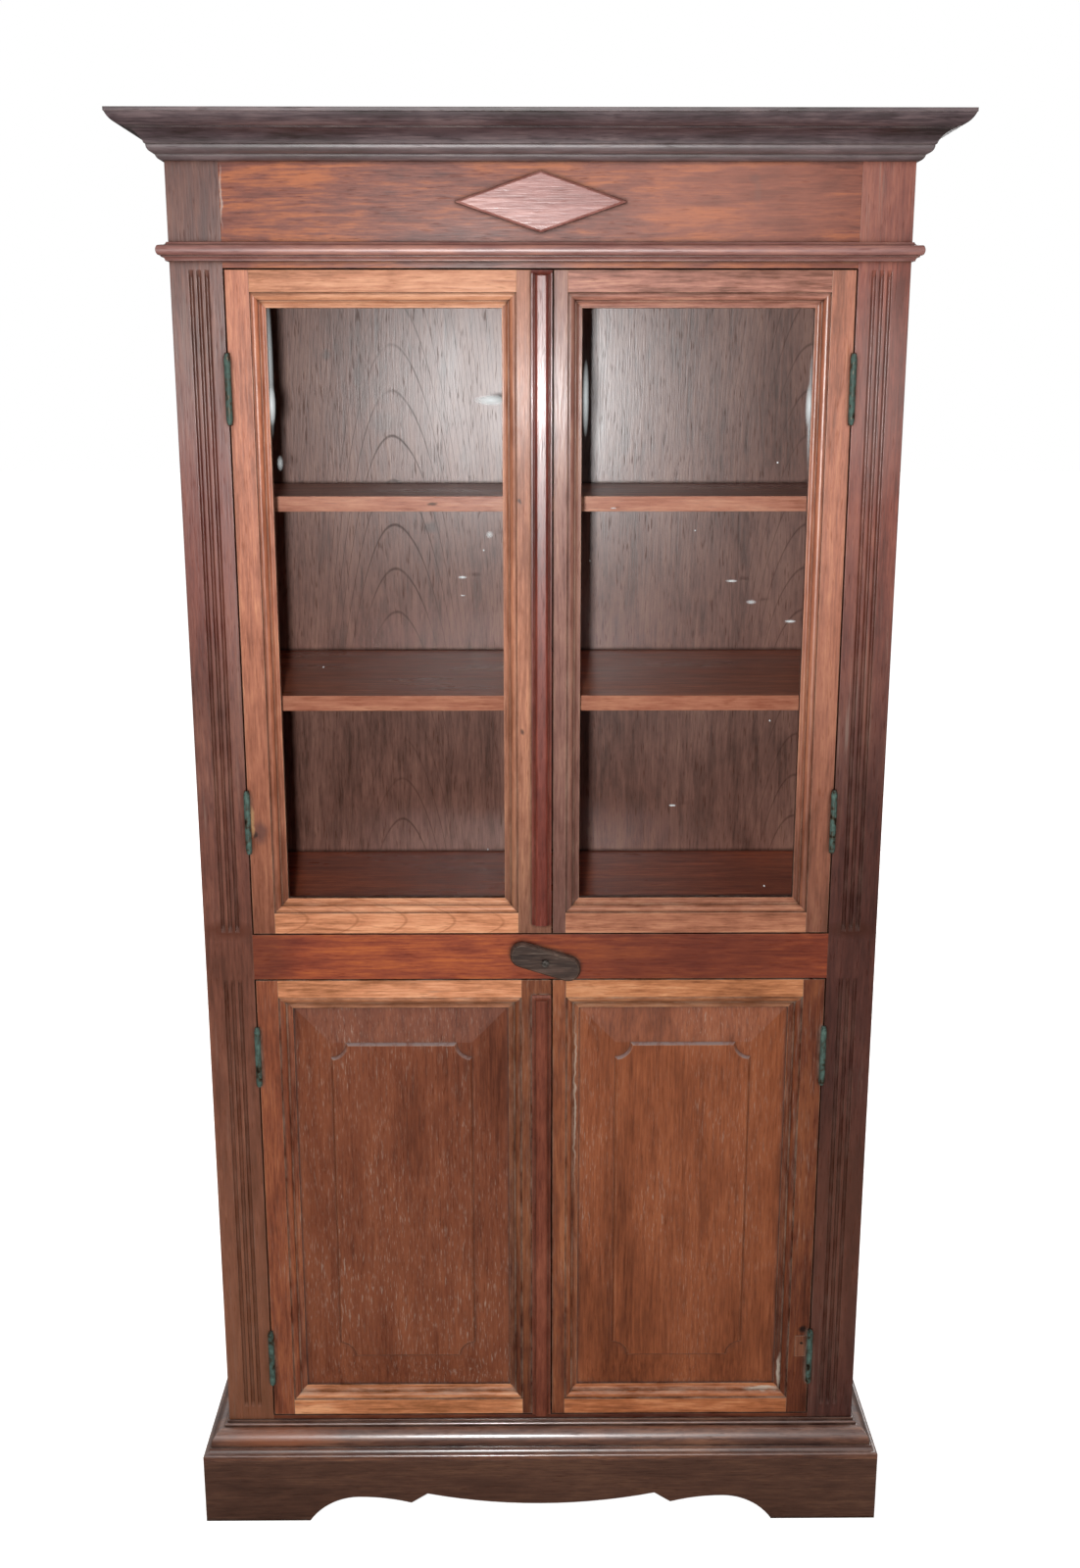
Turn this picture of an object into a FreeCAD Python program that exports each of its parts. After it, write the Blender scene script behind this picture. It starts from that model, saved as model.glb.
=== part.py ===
import FreeCAD
import Part
import math
import os

# A teak cupboard with two glazed doors over two panelled doors, a moulded cornice and a bracket plinth.
# Millimetres. X runs to the right, Y to the back and Z up, and the origin is on the floor below the
# middle of the whole outline. The doors are inset and lie flush with the fluted pilasters.

# Carcass
carcass_width = 900.0
carcass_depth = 435.0
pilaster_width = 64.0
pilaster_depth = 30.0
side_thickness = 20.0
shelf_thickness = 20.0
top_board_thickness = 18.0
back_thickness = 10.0

# Heights, from the floor up
plinth_height = 98.0
base_moulding_height = 46.0
bottom_rail_reveal = 6.0
lower_door_height = 665.0
middle_rail_height = 63.0
upper_door_height = 848.0
waist_lift = 8.0
waist_moulding_height = 22.0
frieze_field_height = 92.0
cornice_height = 52.0

# Inside bays of the upper part, from its floor up, and how far its shelves lie behind the posts
deck_drop = 7.0
lower_bay_height = 304.0
middle_bay_height = 234.0
middle_shelf_setback = 12.0
upper_shelf_setback = 94.0

# Projections of the mouldings from the carcass face
cornice_projection = 56.0
waist_projection = 13.4
plinth_projection = 33.6

# Carcass joints
rail_tenon_length = 20.0
rail_tenon_thickness = 10.0
rail_tenon_shoulder = 6.0
side_tongue_length = 8.0
side_tongue_thickness = 8.0
housing_depth = 6.0
back_rebate_width = 10.0
back_lap_width = 12.0
joint_clearance = 0.2
joint_end_clearance = 0.8

# Flutes on the pilasters
flute_count = 3
flute_pitch = 9.5
flute_radius = 2.7
flute_run_out = 9.0
flute_offset = 3.0
flute_foot_margin = 12.0
flute_rail_margin = 3.0

# Lozenge on the frieze
lozenge_width = 208.0
lozenge_height = 70.0
lozenge_thickness = 5.5
lozenge_rim_rise = 2.5
lozenge_face_share = 0.93

# Plinth
plinth_thickness = 25.0
foot_width = 150.0
side_foot_width = 120.0
apron_shoulder_height = 39.0
apron_cusp_height = 29.0
apron_peak_height = 44.0
apron_centre_height = 27.0
corner_block_size = 70.0
corner_block_lift = 8.0

# Doors
door_gap = 2.0
door_thickness = 24.0
meeting_offset = 15.0
hinge_stile_width = 47.0
upper_cover_stile_width = 62.0
upper_meeting_stile_width = 35.0
lower_cover_stile_width = 58.0
lower_meeting_stile_width = 36.0
upper_door_top_rail = 44.0
upper_door_bottom_rail = 46.0
lower_door_top_rail = 43.0
lower_door_bottom_rail = 41.0
sticking_width = 18.0
sticking_depth = 10.0
door_tenon_length = 12.0
door_tenon_thickness = 8.0
door_tenon_depth = 8.0
door_tenon_shoulder = 4.0

# Glazing
glass_depth = 12.5
glass_thickness = 3.0
glass_rebate_width = 8.0
glass_edge_clearance = 0.8
bead_round_radius = 5.0

# Raised panels
groove_depth = 8.0
groove_front = 12.5
groove_width = 6.0
panel_edge_clearance = 0.8
panel_bevel_width = 50.0
panel_field_depth = 3.0
panel_field_step = 4.0
panel_field_chamfer = 3.0
panel_notch_radius = 21.0

# Cover strips on the meeting stiles of the left doors
astragal_width = 26.0
astragal_proud = 8.0
astragal_scoop_radius = 6.5
button_sweep_clearance = 1.5

# Butt hinges
hinge_length = 76.0
knuckle_count = 3
knuckle_radius = 4.0
knuckle_flat_count = 12
knuckle_gap = 0.3
hinge_axis_proud = 2.5
leaf_thickness = 1.5
leaf_width = 20.0
hinge_pin_radius = 2.0
hinge_pin_flat_count = 6
hinge_collar_radius = 3.4
hinge_collar_length = 3.0
hinge_tip_radius = 2.3
hinge_tip_length = 2.0
hinge_relief = 0.5
running_clearance = 0.06
upper_hinge_top_drop = 141.0
upper_hinge_bottom_rise = 154.0
lower_hinge_top_drop = 110.0
lower_hinge_bottom_rise = 92.0

# Turn button on the middle rail
button_length = 97.0
button_width = 33.0
button_thickness = 12.0
button_edge_chamfer = 2.0
button_offset = 6.0
button_drop = 4.5
button_rest_angle = 18.0
button_slack = 0.2
washer_radius = 8.0
washer_thickness = 1.5
screw_head_radius = 4.8
screw_head_height = 2.6
screw_shank_radius = 2.2
screw_grip = 16.0
screw_slot_width = 1.1
screw_slot_depth = 1.2

# Length by which a cutting shape passes the faces it cuts
overrun = 5.0

# Outlines of the mouldings as shares of projection and height, from the foot of the profile up.
# A pair is a corner. Four values are an arc: its end, then a point on the way.
cornice_shares = [
    (0.00, 0.00),
    (0.15, 0.10, 0.10, 0.03),
    (0.15, 0.13),
    (0.20, 0.15),
    (0.31, 0.32, 0.28, 0.21),
    (0.34, 0.34),
    (0.67, 0.63, 0.45, 0.52),
    (0.67, 0.65),
    (0.72, 0.66),
    (0.98, 0.90, 0.90, 0.77),
    (1.00, 0.92),
    (1.00, 1.00),
    (0.00, 1.00),
]
waist_shares = [
    (0.00, 0.00),
    (0.30, 0.00),
    (0.62, 0.20, 0.38, 0.14),
    (0.62, 0.28),
    (0.86, 0.30),
    (0.86, 0.80, 1.00, 0.55),
    (0.55, 0.84),
    (0.16, 1.00, 0.28, 0.88),
    (0.00, 1.00),
]
base_shares = [
    (0.00, 0.00),
    (1.00, 0.00),
    (1.00, 0.10),
    (0.92, 0.20, 0.99, 0.17),
    (0.87, 0.20),
    (0.76, 0.36, 0.80, 0.25),
    (0.70, 0.36),
    (0.70, 0.42),
    (0.22, 0.82, 0.57, 0.68),
    (0.17, 0.82),
    (0.12, 0.92, 0.18, 0.88),
    (0.07, 0.92),
    (0.07, 1.00),
    (0.00, 1.00),
]
# Moulded inner edge of the door frames, from the flat face to the sight line, as shares of width and depth
sticking_shares = [
    (0.00, 0.20),
    (0.08, 0.20),
    (0.50, 0.62, 0.38, 0.30),
    (0.50, 0.74),
    (0.60, 0.74),
    (0.88, 1.00, 0.67, 0.94),
    (1.00, 1.00),
]
# Cover strip, across its width and out from the door
astragal_shares = [
    (0.00, 0.00),
    (1.00, 0.00),
    (1.00, 0.34),
    (0.95, 0.34),
    (0.86, 0.60, 0.88, 0.42),
    (0.82, 0.60),
    (0.66, 1.00, 0.76, 0.92),
    (0.34, 1.00),
    (0.18, 0.60, 0.24, 0.92),
    (0.14, 0.60),
    (0.05, 0.34, 0.12, 0.42),
    (0.00, 0.34),
]
# Front apron, as shares of half the span between the feet
apron_shoulder_share = 0.79
apron_rise_share = 0.92
apron_rise_height_share = 0.67
apron_sag_share = 0.67
apron_cusp_share = 0.56
apron_peak_share = 0.49
# Bracket cut-out of the side plinths, as shares of its own width and of the shoulder height
side_bracket_share = 0.16
side_bracket_mid_share = 0.05
side_bracket_rise_share = 0.71

# Places that follow from the sizes
half_width = carcass_width / 2
opening_half = half_width - pilaster_width
front_y = cornice_projection - (carcass_depth + cornice_projection) / 2
back_y = front_y + carcass_depth
inside_y = back_y - back_thickness
post_back_y = front_y + pilaster_depth

bottom_rail_top = plinth_height + base_moulding_height + bottom_rail_reveal
lower_door_bottom = bottom_rail_top + door_gap
lower_door_top = lower_door_bottom + lower_door_height
middle_rail_bottom = lower_door_top + door_gap
middle_rail_top = middle_rail_bottom + middle_rail_height
upper_door_bottom = middle_rail_top + door_gap
upper_door_top = upper_door_bottom + upper_door_height
frieze_bottom = upper_door_top + door_gap
waist_bottom = frieze_bottom + waist_lift
waist_top = waist_bottom + waist_moulding_height
cornice_bottom = waist_top + frieze_field_height
cornice_top = cornice_bottom + cornice_height
carcass_top = cornice_top - top_board_thickness

deck_top = middle_rail_top - deck_drop
middle_shelf_top = deck_top + lower_bay_height + shelf_thickness
upper_shelf_top = middle_shelf_top + middle_bay_height + shelf_thickness
shelf_places = {
    "upper_shelf": (upper_shelf_top, post_back_y + upper_shelf_setback),
    "middle_shelf": (middle_shelf_top, post_back_y + middle_shelf_setback),
    "middle_deck": (deck_top, post_back_y),
    "bottom_deck": (bottom_rail_top, post_back_y),
}

hinge_edge = -opening_half + door_gap
left_door_width = meeting_offset - door_gap / 2 - hinge_edge
right_door_width = -hinge_edge - meeting_offset - door_gap / 2
hinge_axis_x = -opening_half + door_gap / 2
hinge_axis_y = front_y - hinge_axis_proud
hinge_pitch = hinge_length / knuckle_count

button_z = (middle_rail_bottom + middle_rail_top) / 2 - button_drop
button_back_y = front_y - washer_thickness - button_slack
button_reach = button_length / 2 + button_sweep_clearance

x_axis = FreeCAD.Vector(1, 0, 0)
y_axis = FreeCAD.Vector(0, 1, 0)
origin = FreeCAD.Vector(0, 0, 0)


def point(x, y, z):
    return FreeCAD.Vector(x, y, z)


def block(x0, x1, y0, y1, z0, z1):
    return Part.makeBox(x1 - x0, y1 - y0, z1 - z0, point(x0, y0, z0))


def mirrored(shape):
    """The same piece on the other side of the cupboard's middle plane."""
    return shape.mirror(origin, x_axis)


def outline_face(corners):
    """A flat face from a list of points. A pair of points is an arc: its end, then a point on the way."""
    edges = []
    start = corners[0]
    for corner in corners[1:] + corners[:1]:
        if isinstance(corner, tuple):
            end, way = corner
            edges.append(Part.Arc(start, way, end).toShape())
        else:
            end = corner
            edges.append(Part.makeLine(start, end))
        start = end
    return Part.Face(Part.Wire(edges))


def shared_corners(shares, across, up, place):
    """Corners of a profile given in shares of its two sizes, put in space by place(across, up)."""
    corners = []
    for share in shares:
        end = place(share[0] * across, share[1] * up)
        if len(share) > 2:
            corners.append((end, place(share[2] * across, share[3] * up)))
        else:
            corners.append(end)
    return corners


def plan_prism(plan, z0, z1):
    """An upright prism over a plan of (x, y) corners."""
    return outline_face([point(x, y, z0) for x, y in plan]).extrude(point(0, 0, z1 - z0))


def front_prism(corners, y0, y1):
    """A prism through the depth from y0 to y1, over (x, z) corners. A pair of corners is an arc."""
    placed = []
    for corner in corners:
        if isinstance(corner[0], tuple):
            placed.append(tuple(point(x, y0, z) for x, z in corner))
        else:
            placed.append(point(corner[0], y0, corner[1]))
    return outline_face(placed).extrude(point(0, y1 - y0, 0))


def moulding(shares, projection, height, foot_z):
    """A moulding along the front with a return on each side, mitred at the two front corners."""
    tip_x = half_width + projection
    tip_y = front_y - projection
    front_profile = shared_corners(
        shares, projection, height, lambda out, up: point(-tip_x, front_y - out, foot_z + up)
    )
    front_plan = [(-half_width, front_y), (-tip_x, tip_y), (tip_x, tip_y), (half_width, front_y)]
    front = outline_face(front_profile).extrude(point(2 * tip_x, 0, 0))
    front = front.common(plan_prism(front_plan, foot_z - overrun, foot_z + height + overrun))
    side_profile = shared_corners(
        shares, projection, height, lambda out, up: point(-half_width - out, tip_y, foot_z + up)
    )
    side_plan = [(-half_width, front_y), (-half_width, back_y), (-tip_x, back_y), (-tip_x, tip_y)]
    left = outline_face(side_profile).extrude(point(0, back_y - tip_y, 0))
    left = left.common(plan_prism(side_plan, foot_z - overrun, foot_z + height + overrun))
    return front, left, mirrored(left)


# Hinges, made for the left doors and mirrored for the right ones


def knuckle_span(index, foot_z):
    """Lowest and highest level of one knuckle."""
    low = foot_z + index * hinge_pitch
    return low + knuckle_gap / 2, low + hinge_pitch - knuckle_gap / 2


def axis_rod(radius, flats, z0, z1):
    """A rod with flats about the hinge axis, its corners on the radius, plain as there are so many of them."""
    plan = []
    for index in range(flats):
        angle = 2 * math.pi * index / flats
        plan.append((hinge_axis_x + radius * math.cos(angle), hinge_axis_y + radius * math.sin(angle)))
    return plan_prism(plan, z0, z1)


def hinge_leaf(middle_z, leaf_x0, leaf_x1, own_first):
    """One leaf with its knuckles. own_first is 0 for the leaf with the end knuckles and 1 for the other."""
    foot_z = middle_z - hinge_length / 2
    low_end = knuckle_span(0, foot_z)[0]
    high_end = knuckle_span(knuckle_count - 1, foot_z)[1]
    behind_y = hinge_axis_y + knuckle_radius + knuckle_gap
    pieces = []
    for index in range(own_first, knuckle_count, 2):
        low, high = knuckle_span(index, foot_z)
        pieces.append(axis_rod(knuckle_radius, knuckle_flat_count, low, high))
        pieces.append(block(leaf_x0, leaf_x1, hinge_axis_y, behind_y, low, high))
    leaf = block(leaf_x0, leaf_x1, behind_y, front_y + leaf_width, low_end, high_end).fuse(pieces)
    bore_radius = (hinge_pin_radius + running_clearance) / math.cos(math.pi / hinge_pin_flat_count)
    bore = axis_rod(bore_radius, hinge_pin_flat_count, foot_z - overrun, foot_z + hinge_length + overrun)
    return leaf.cut(bore).removeSplitter()


def frame_leaf(middle_z):
    return hinge_leaf(middle_z, -opening_half - leaf_thickness, -opening_half, 0)


def door_leaf(middle_z):
    return hinge_leaf(middle_z, hinge_edge, hinge_edge + leaf_thickness, 1)


def hinge_pin(middle_z):
    """A pin with a stepped tip on each end, seated on the end knuckles."""
    foot_z = middle_z - hinge_length / 2 + knuckle_gap / 2
    head_z = middle_z + hinge_length / 2 - knuckle_gap / 2
    tip = hinge_collar_length + hinge_tip_length
    steps = [
        axis_rod(hinge_collar_radius, hinge_pin_flat_count, foot_z - hinge_collar_length, foot_z),
        axis_rod(hinge_collar_radius, hinge_pin_flat_count, head_z, head_z + hinge_collar_length),
        axis_rod(hinge_tip_radius, hinge_pin_flat_count, foot_z - tip, foot_z - hinge_collar_length),
        axis_rod(hinge_tip_radius, hinge_pin_flat_count, head_z + hinge_collar_length, head_z + tip),
    ]
    return axis_rod(hinge_pin_radius, hinge_pin_flat_count, foot_z, head_z).fuse(steps).removeSplitter()


def hinge_room(middle_z, leaf_x0, leaf_x1):
    """What a hinge takes out of the wood beside it: the leaf's recess and room for barrel and tips."""
    foot_z = middle_z - hinge_length / 2
    head_z = middle_z + hinge_length / 2
    tip = hinge_collar_length + hinge_tip_length + hinge_relief
    recess = block(
        leaf_x0, leaf_x1, front_y - overrun, front_y + leaf_width + joint_clearance,
        foot_z - joint_clearance, head_z + joint_clearance,
    )
    barrel = axis_rod(knuckle_radius + hinge_relief, knuckle_flat_count, foot_z - tip, head_z + tip)
    return recess.fuse(barrel)


upper_hinge_levels = [upper_door_bottom + upper_hinge_bottom_rise, upper_door_top - upper_hinge_top_drop]
lower_hinge_levels = [lower_door_bottom + lower_hinge_bottom_rise, lower_door_top - lower_hinge_top_drop]


# Carcass


def tenoned_rail(z0, z1):
    """A rail between the pilasters with a stub tenon on each end."""
    rail = block(-opening_half, opening_half, front_y, post_back_y, z0, z1)
    return rail.fuse(rail_tenons(z0, z1, 0, 0)).removeSplitter()


def rail_tenons(z0, z1, slack, end_slack):
    middle_y = front_y + pilaster_depth / 2
    reach = opening_half + rail_tenon_length + end_slack
    half = rail_tenon_thickness / 2 + slack
    return block(
        -reach, reach, middle_y - half, middle_y + half,
        z0 + rail_tenon_shoulder - slack, z1 - rail_tenon_shoulder + slack,
    )


def flute(x, z0, z1):
    """A round groove whose ends run out to a point on the face."""
    groove = Part.makeCylinder(flute_radius, z1 - z0, point(x, front_y, z0))
    side_x = x - flute_radius
    corners = [
        point(side_x, front_y, z0), point(side_x, front_y + flute_radius, z0 + flute_run_out),
        point(side_x, front_y + flute_radius, z1 - flute_run_out), point(side_x, front_y, z1),
    ]
    return groove.common(outline_face(corners).extrude(point(2 * flute_radius, 0, 0)))


def left_pilaster():
    post = block(-half_width, -opening_half, front_y, post_back_y, plinth_height, carcass_top)
    middle_x = -half_width + pilaster_width / 2 + flute_offset
    cuts = []
    runs = [
        (lower_door_bottom + flute_foot_margin, middle_rail_bottom),
        (middle_rail_top + flute_rail_margin, upper_door_top),
    ]
    for index in range(flute_count):
        x = middle_x + (index - (flute_count - 1) / 2) * flute_pitch
        for low, high in runs:
            cuts.append(flute(x, low, high))
    for low, high in rail_levels.values():
        cuts.append(rail_tenons(low, high, joint_clearance, joint_end_clearance))
    for level in upper_hinge_levels + lower_hinge_levels:
        cuts.append(hinge_room(level, -opening_half - leaf_thickness, -opening_half + overrun))
    cuts.append(side_tongue(joint_clearance, joint_end_clearance))
    for cut in cuts:
        post = post.cut(cut)
    return post


def side_tongue(slack, end_slack):
    """Tongue on the front edge of the left side, or its groove."""
    middle_x = -half_width + side_thickness / 2
    half = side_tongue_thickness / 2 + slack
    return block(
        middle_x - half, middle_x + half, post_back_y - side_tongue_length - end_slack, post_back_y,
        plinth_height, carcass_top,
    )


def left_side():
    inner_x = -half_width + side_thickness
    side = block(-half_width, inner_x, post_back_y, back_y, plinth_height, carcass_top)
    side = side.fuse(side_tongue(0, 0)).removeSplitter()
    side = side.cut(
        block(
            inner_x - back_rebate_width, inner_x + overrun, inside_y, back_y + overrun,
            plinth_height - overrun, carcass_top + overrun,
        )
    )
    for top, near_y in shelf_places.values():
        side = side.cut(
            block(
                inner_x - housing_depth, inner_x + overrun, near_y, inside_y,
                top - shelf_thickness, top + joint_clearance,
            )
        )
    return side


def shelf(top, near_y):
    reach = half_width - side_thickness + housing_depth - joint_clearance
    return block(-reach, reach, near_y, inside_y, top - shelf_thickness, top)


def back_board(side):
    """One of the two back boards, half-lapped at the middle. side is -1 for the left and 1 for the right."""
    edge = half_width - side_thickness + back_rebate_width - joint_clearance
    lap_y = inside_y + back_thickness / 2
    lap = back_lap_width / 2
    near_y, far_y = (inside_y, lap_y) if side < 0 else (lap_y, back_y)
    body = block(lap, edge, inside_y, back_y, plinth_height, carcass_top)
    if side < 0:
        body = mirrored(body)
    tongue = block(-lap, lap, near_y, far_y, plinth_height, carcass_top)
    return body.fuse(tongue).removeSplitter()


def frieze_lozenge():
    middle_z = (waist_top + cornice_bottom) / 2
    rim_y = front_y - (lozenge_thickness - lozenge_rim_rise)

    def ring(y, share):
        half = share * lozenge_width / 2
        rise = share * lozenge_height / 2
        corners = [
            point(-half, y, middle_z), point(0, y, middle_z + rise),
            point(half, y, middle_z), point(0, y, middle_z - rise), point(-half, y, middle_z),
        ]
        return Part.makePolygon(corners)

    base = Part.Face(ring(front_y, 1)).extrude(point(0, rim_y - front_y, 0))
    face_ring = ring(front_y - lozenge_thickness, lozenge_face_share)
    crown = Part.makeLoft([ring(rim_y, 1), face_ring], True, True)
    return base.fuse(crown).removeSplitter()


rail_levels = {
    "frieze_rail": (frieze_bottom, carcass_top),
    "middle_rail": (middle_rail_bottom, middle_rail_top),
    "bottom_rail": (plinth_height, bottom_rail_top),
}


# Plinth


def apron_cut(tip_y, inner_y):
    """The opening under the front apron: a cove at each foot, a cusp, and a shallow lobe in the middle."""
    span = half_width + plinth_projection - foot_width
    shoulder = (apron_shoulder_share * span, apron_shoulder_height)
    rise = (apron_rise_share * span, apron_rise_height_share * apron_shoulder_height)
    sag_height = apron_shoulder_height - (apron_shoulder_height - apron_cusp_height) / 4
    sag = (apron_sag_share * span, sag_height)
    cusp = (apron_cusp_share * span, apron_cusp_height)
    peak = (apron_peak_share * span, apron_peak_height)

    def left(place):
        return (-place[0], place[1])

    corners = [
        (-span, -overrun),
        (-span, 0),
        (left(shoulder), left(rise)),
        (left(cusp), left(sag)),
        left(peak),
        (peak, (0, apron_centre_height)),
        cusp,
        (shoulder, sag),
        ((span, 0), rise),
        (span, -overrun),
    ]
    return front_prism(corners, tip_y - overrun, inner_y + overrun)


def plinth_front():
    tip_x = half_width + plinth_projection
    tip_y = front_y - plinth_projection
    inner_x = tip_x - plinth_thickness
    inner_y = tip_y + plinth_thickness
    plan = [(-tip_x, tip_y), (tip_x, tip_y), (inner_x, inner_y), (-inner_x, inner_y)]
    return plan_prism(plan, 0, plinth_height).cut(apron_cut(tip_y, inner_y))


def plinth_left():
    tip_x = half_width + plinth_projection
    tip_y = front_y - plinth_projection
    inner_x = tip_x - plinth_thickness
    inner_y = tip_y + plinth_thickness
    plan = [(-tip_x, tip_y), (-inner_x, inner_y), (-inner_x, back_y), (-tip_x, back_y)]
    board = plan_prism(plan, 0, plinth_height)
    front_foot = tip_y + side_foot_width
    back_foot = back_y - side_foot_width
    span = back_foot - front_foot
    cove = side_bracket_share * span
    way = side_bracket_mid_share * span
    rise = side_bracket_rise_share * apron_shoulder_height

    def at(y, z):
        return point(-tip_x - overrun, y, z)

    corners = [
        at(front_foot, -overrun),
        at(front_foot, 0),
        (at(front_foot + cove, apron_shoulder_height), at(front_foot + way, rise)),
        at(back_foot - cove, apron_shoulder_height),
        (at(back_foot, 0), at(back_foot - way, rise)),
        at(back_foot, -overrun),
    ]
    return board.cut(outline_face(corners).extrude(point(plinth_thickness + 2 * overrun, 0, 0)))


def plinth_back():
    inner_x = half_width + plinth_projection - plinth_thickness
    return block(-inner_x, inner_x, back_y - plinth_thickness, back_y, 0, plinth_height)


def plinth_corner_blocks():
    inner_x = half_width + plinth_projection - plinth_thickness
    front_inner = front_y - plinth_projection + plinth_thickness
    back_inner = back_y - plinth_thickness
    spans = [
        (front_inner, front_inner + corner_block_size),
        (back_inner - corner_block_size, back_inner),
    ]
    blocks = []
    for near_y, far_y in spans:
        left = block(-inner_x, corner_block_size - inner_x, near_y, far_y, corner_block_lift, plinth_height)
        blocks.append(left)
        blocks.append(mirrored(left))
    return blocks


# Doors, made in the left-hand place and mirrored for the right-hand ones


class Door:
    """Sizes and edges of one door, in the left-hand place."""

    def __init__(self, width, bottom, top, lock_stile, bottom_rail, top_rail, hinge_levels, glazed):
        self.lock_edge = hinge_edge + width
        self.bottom = bottom
        self.top = top
        self.hinge_flat = hinge_stile_width - sticking_width
        self.lock_flat = lock_stile - sticking_width
        self.bottom_flat = bottom_rail - sticking_width
        self.top_flat = top_rail - sticking_width
        self.hinge_levels = hinge_levels
        self.glazed = glazed
        self.left_shoulder = hinge_edge + self.hinge_flat
        self.right_shoulder = self.lock_edge - self.lock_flat
        self.low_shoulder = bottom + self.bottom_flat
        self.high_shoulder = top - self.top_flat
        self.sight = (
            self.left_shoulder + sticking_width,
            self.right_shoulder - sticking_width,
            self.low_shoulder + sticking_width,
            self.high_shoulder - sticking_width,
        )


def frame_section(flat, glazed, place):
    """Section of a stile or rail: flat face, moulded edge, then the glass rebate or the panel groove."""
    edge = flat + sticking_width
    corners = [place(0, 0), place(flat, 0)]
    corners += shared_corners(
        sticking_shares, sticking_width, sticking_depth, lambda across, deep: place(flat + across, deep)
    )
    if glazed:
        corners += [
            place(edge, glass_depth),
            place(edge - glass_rebate_width, glass_depth),
            place(edge - glass_rebate_width, door_thickness),
        ]
    else:
        corners += [
            place(edge, groove_front),
            place(edge - groove_depth, groove_front),
            place(edge - groove_depth, groove_front + groove_width),
            place(edge, groove_front + groove_width),
            place(edge, door_thickness),
        ]
    corners.append(place(0, door_thickness))
    return outline_face(corners)


def mitre_cut(x, z, x_way, z_way, keep_stile, end):
    """Wood to take off at a frame corner, so that the moulded edges meet on the diagonal."""
    reach = sticking_width + overrun
    tip = (x + x_way * reach, z + z_way * reach)
    if keep_stile:
        corners = [(x, z), tip, (tip[0], end), (x, end)]
    else:
        corners = [(x, z), tip, (x - x_way * overrun, tip[1]), (x - x_way * overrun, z)]
    return front_prism(corners, front_y - overrun, front_y + door_thickness + overrun)


def door_tenons(door, low, high, slack, end_slack):
    """Stub tenons on the two ends of a door rail, or their mortises."""
    reach = door_tenon_length + end_slack
    return block(
        door.left_shoulder - reach, door.right_shoulder + reach,
        front_y + door_tenon_depth - slack, front_y + door_tenon_depth + door_tenon_thickness + slack,
        low + door_tenon_shoulder - slack, high - door_tenon_shoulder + slack,
    )


def rail_spans(door):
    """Levels between which the flats of the bottom and top rails lie."""
    return (door.bottom, door.low_shoulder), (door.high_shoulder, door.top)


def door_stile(door, hinged):
    if hinged:
        flat, shoulder, way = door.hinge_flat, door.left_shoulder, 1
        section = frame_section(
            flat, door.glazed,
            lambda across, deep: point(hinge_edge + across, front_y + deep, door.bottom),
        )
    else:
        flat, shoulder, way = door.lock_flat, door.right_shoulder, -1
        section = frame_section(
            flat, door.glazed,
            lambda across, deep: point(door.lock_edge - across, front_y + deep, door.bottom),
        )
    stile = section.extrude(point(0, 0, door.top - door.bottom))
    stile = stile.cut(mitre_cut(shoulder, door.low_shoulder, way, 1, True, door.bottom - overrun))
    stile = stile.cut(mitre_cut(shoulder, door.high_shoulder, way, -1, True, door.top + overrun))
    for low, high in rail_spans(door):
        stile = stile.cut(door_tenons(door, low, high, joint_clearance, joint_end_clearance))
    if hinged:
        for level in door.hinge_levels:
            stile = stile.cut(hinge_room(level, hinge_edge - overrun, hinge_edge + leaf_thickness))
    return stile


def door_rail(door, is_top):
    if is_top:
        flat, shoulder, way = door.top_flat, door.high_shoulder, -1
        section = frame_section(
            flat, door.glazed,
            lambda across, deep: point(door.left_shoulder, front_y + deep, door.top - across),
        )
    else:
        flat, shoulder, way = door.bottom_flat, door.low_shoulder, 1
        section = frame_section(
            flat, door.glazed,
            lambda across, deep: point(door.left_shoulder, front_y + deep, door.bottom + across),
        )
    rail = section.extrude(point(door.right_shoulder - door.left_shoulder, 0, 0))
    rail = rail.cut(mitre_cut(door.left_shoulder, shoulder, 1, way, False, None))
    rail = rail.cut(mitre_cut(door.right_shoulder, shoulder, -1, way, False, None))
    low, high = rail_spans(door)[1 if is_top else 0]
    return rail.fuse(door_tenons(door, low, high, 0, 0)).removeSplitter()


def door_glass(door):
    left, right, low, high = door.sight
    lap = glass_rebate_width - glass_edge_clearance
    near_y = front_y + glass_depth
    return block(left - lap, right + lap, near_y, near_y + glass_thickness, low - lap, high + lap)


def glazing_beads(door):
    """Four rounded beads that hold the pane from behind, the upright ones running the full height."""
    left, right, low, high = door.sight
    near_y = front_y + glass_depth + glass_thickness
    far_y = front_y + door_thickness
    lap = glass_rebate_width

    def bead(place, length):
        slant = bead_round_radius * (1 - math.sqrt(2) / 2)
        corners = [
            place(0, near_y),
            place(lap, near_y),
            place(lap, far_y - bead_round_radius),
            (place(lap - bead_round_radius, far_y), place(lap - slant, far_y - slant)),
            place(0, far_y),
        ]
        return outline_face(corners).extrude(length)

    upright = point(0, 0, high - low + 2 * lap)
    across = point(right - left, 0, 0)
    return [
        bead(lambda a, y: point(left - lap + a, y, low - lap), upright),
        bead(lambda a, y: point(right + lap - a, y, low - lap), upright),
        bead(lambda a, y: point(left, y, low - lap + a), across),
        bead(lambda a, y: point(left, y, high + lap - a), across),
    ]


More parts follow.
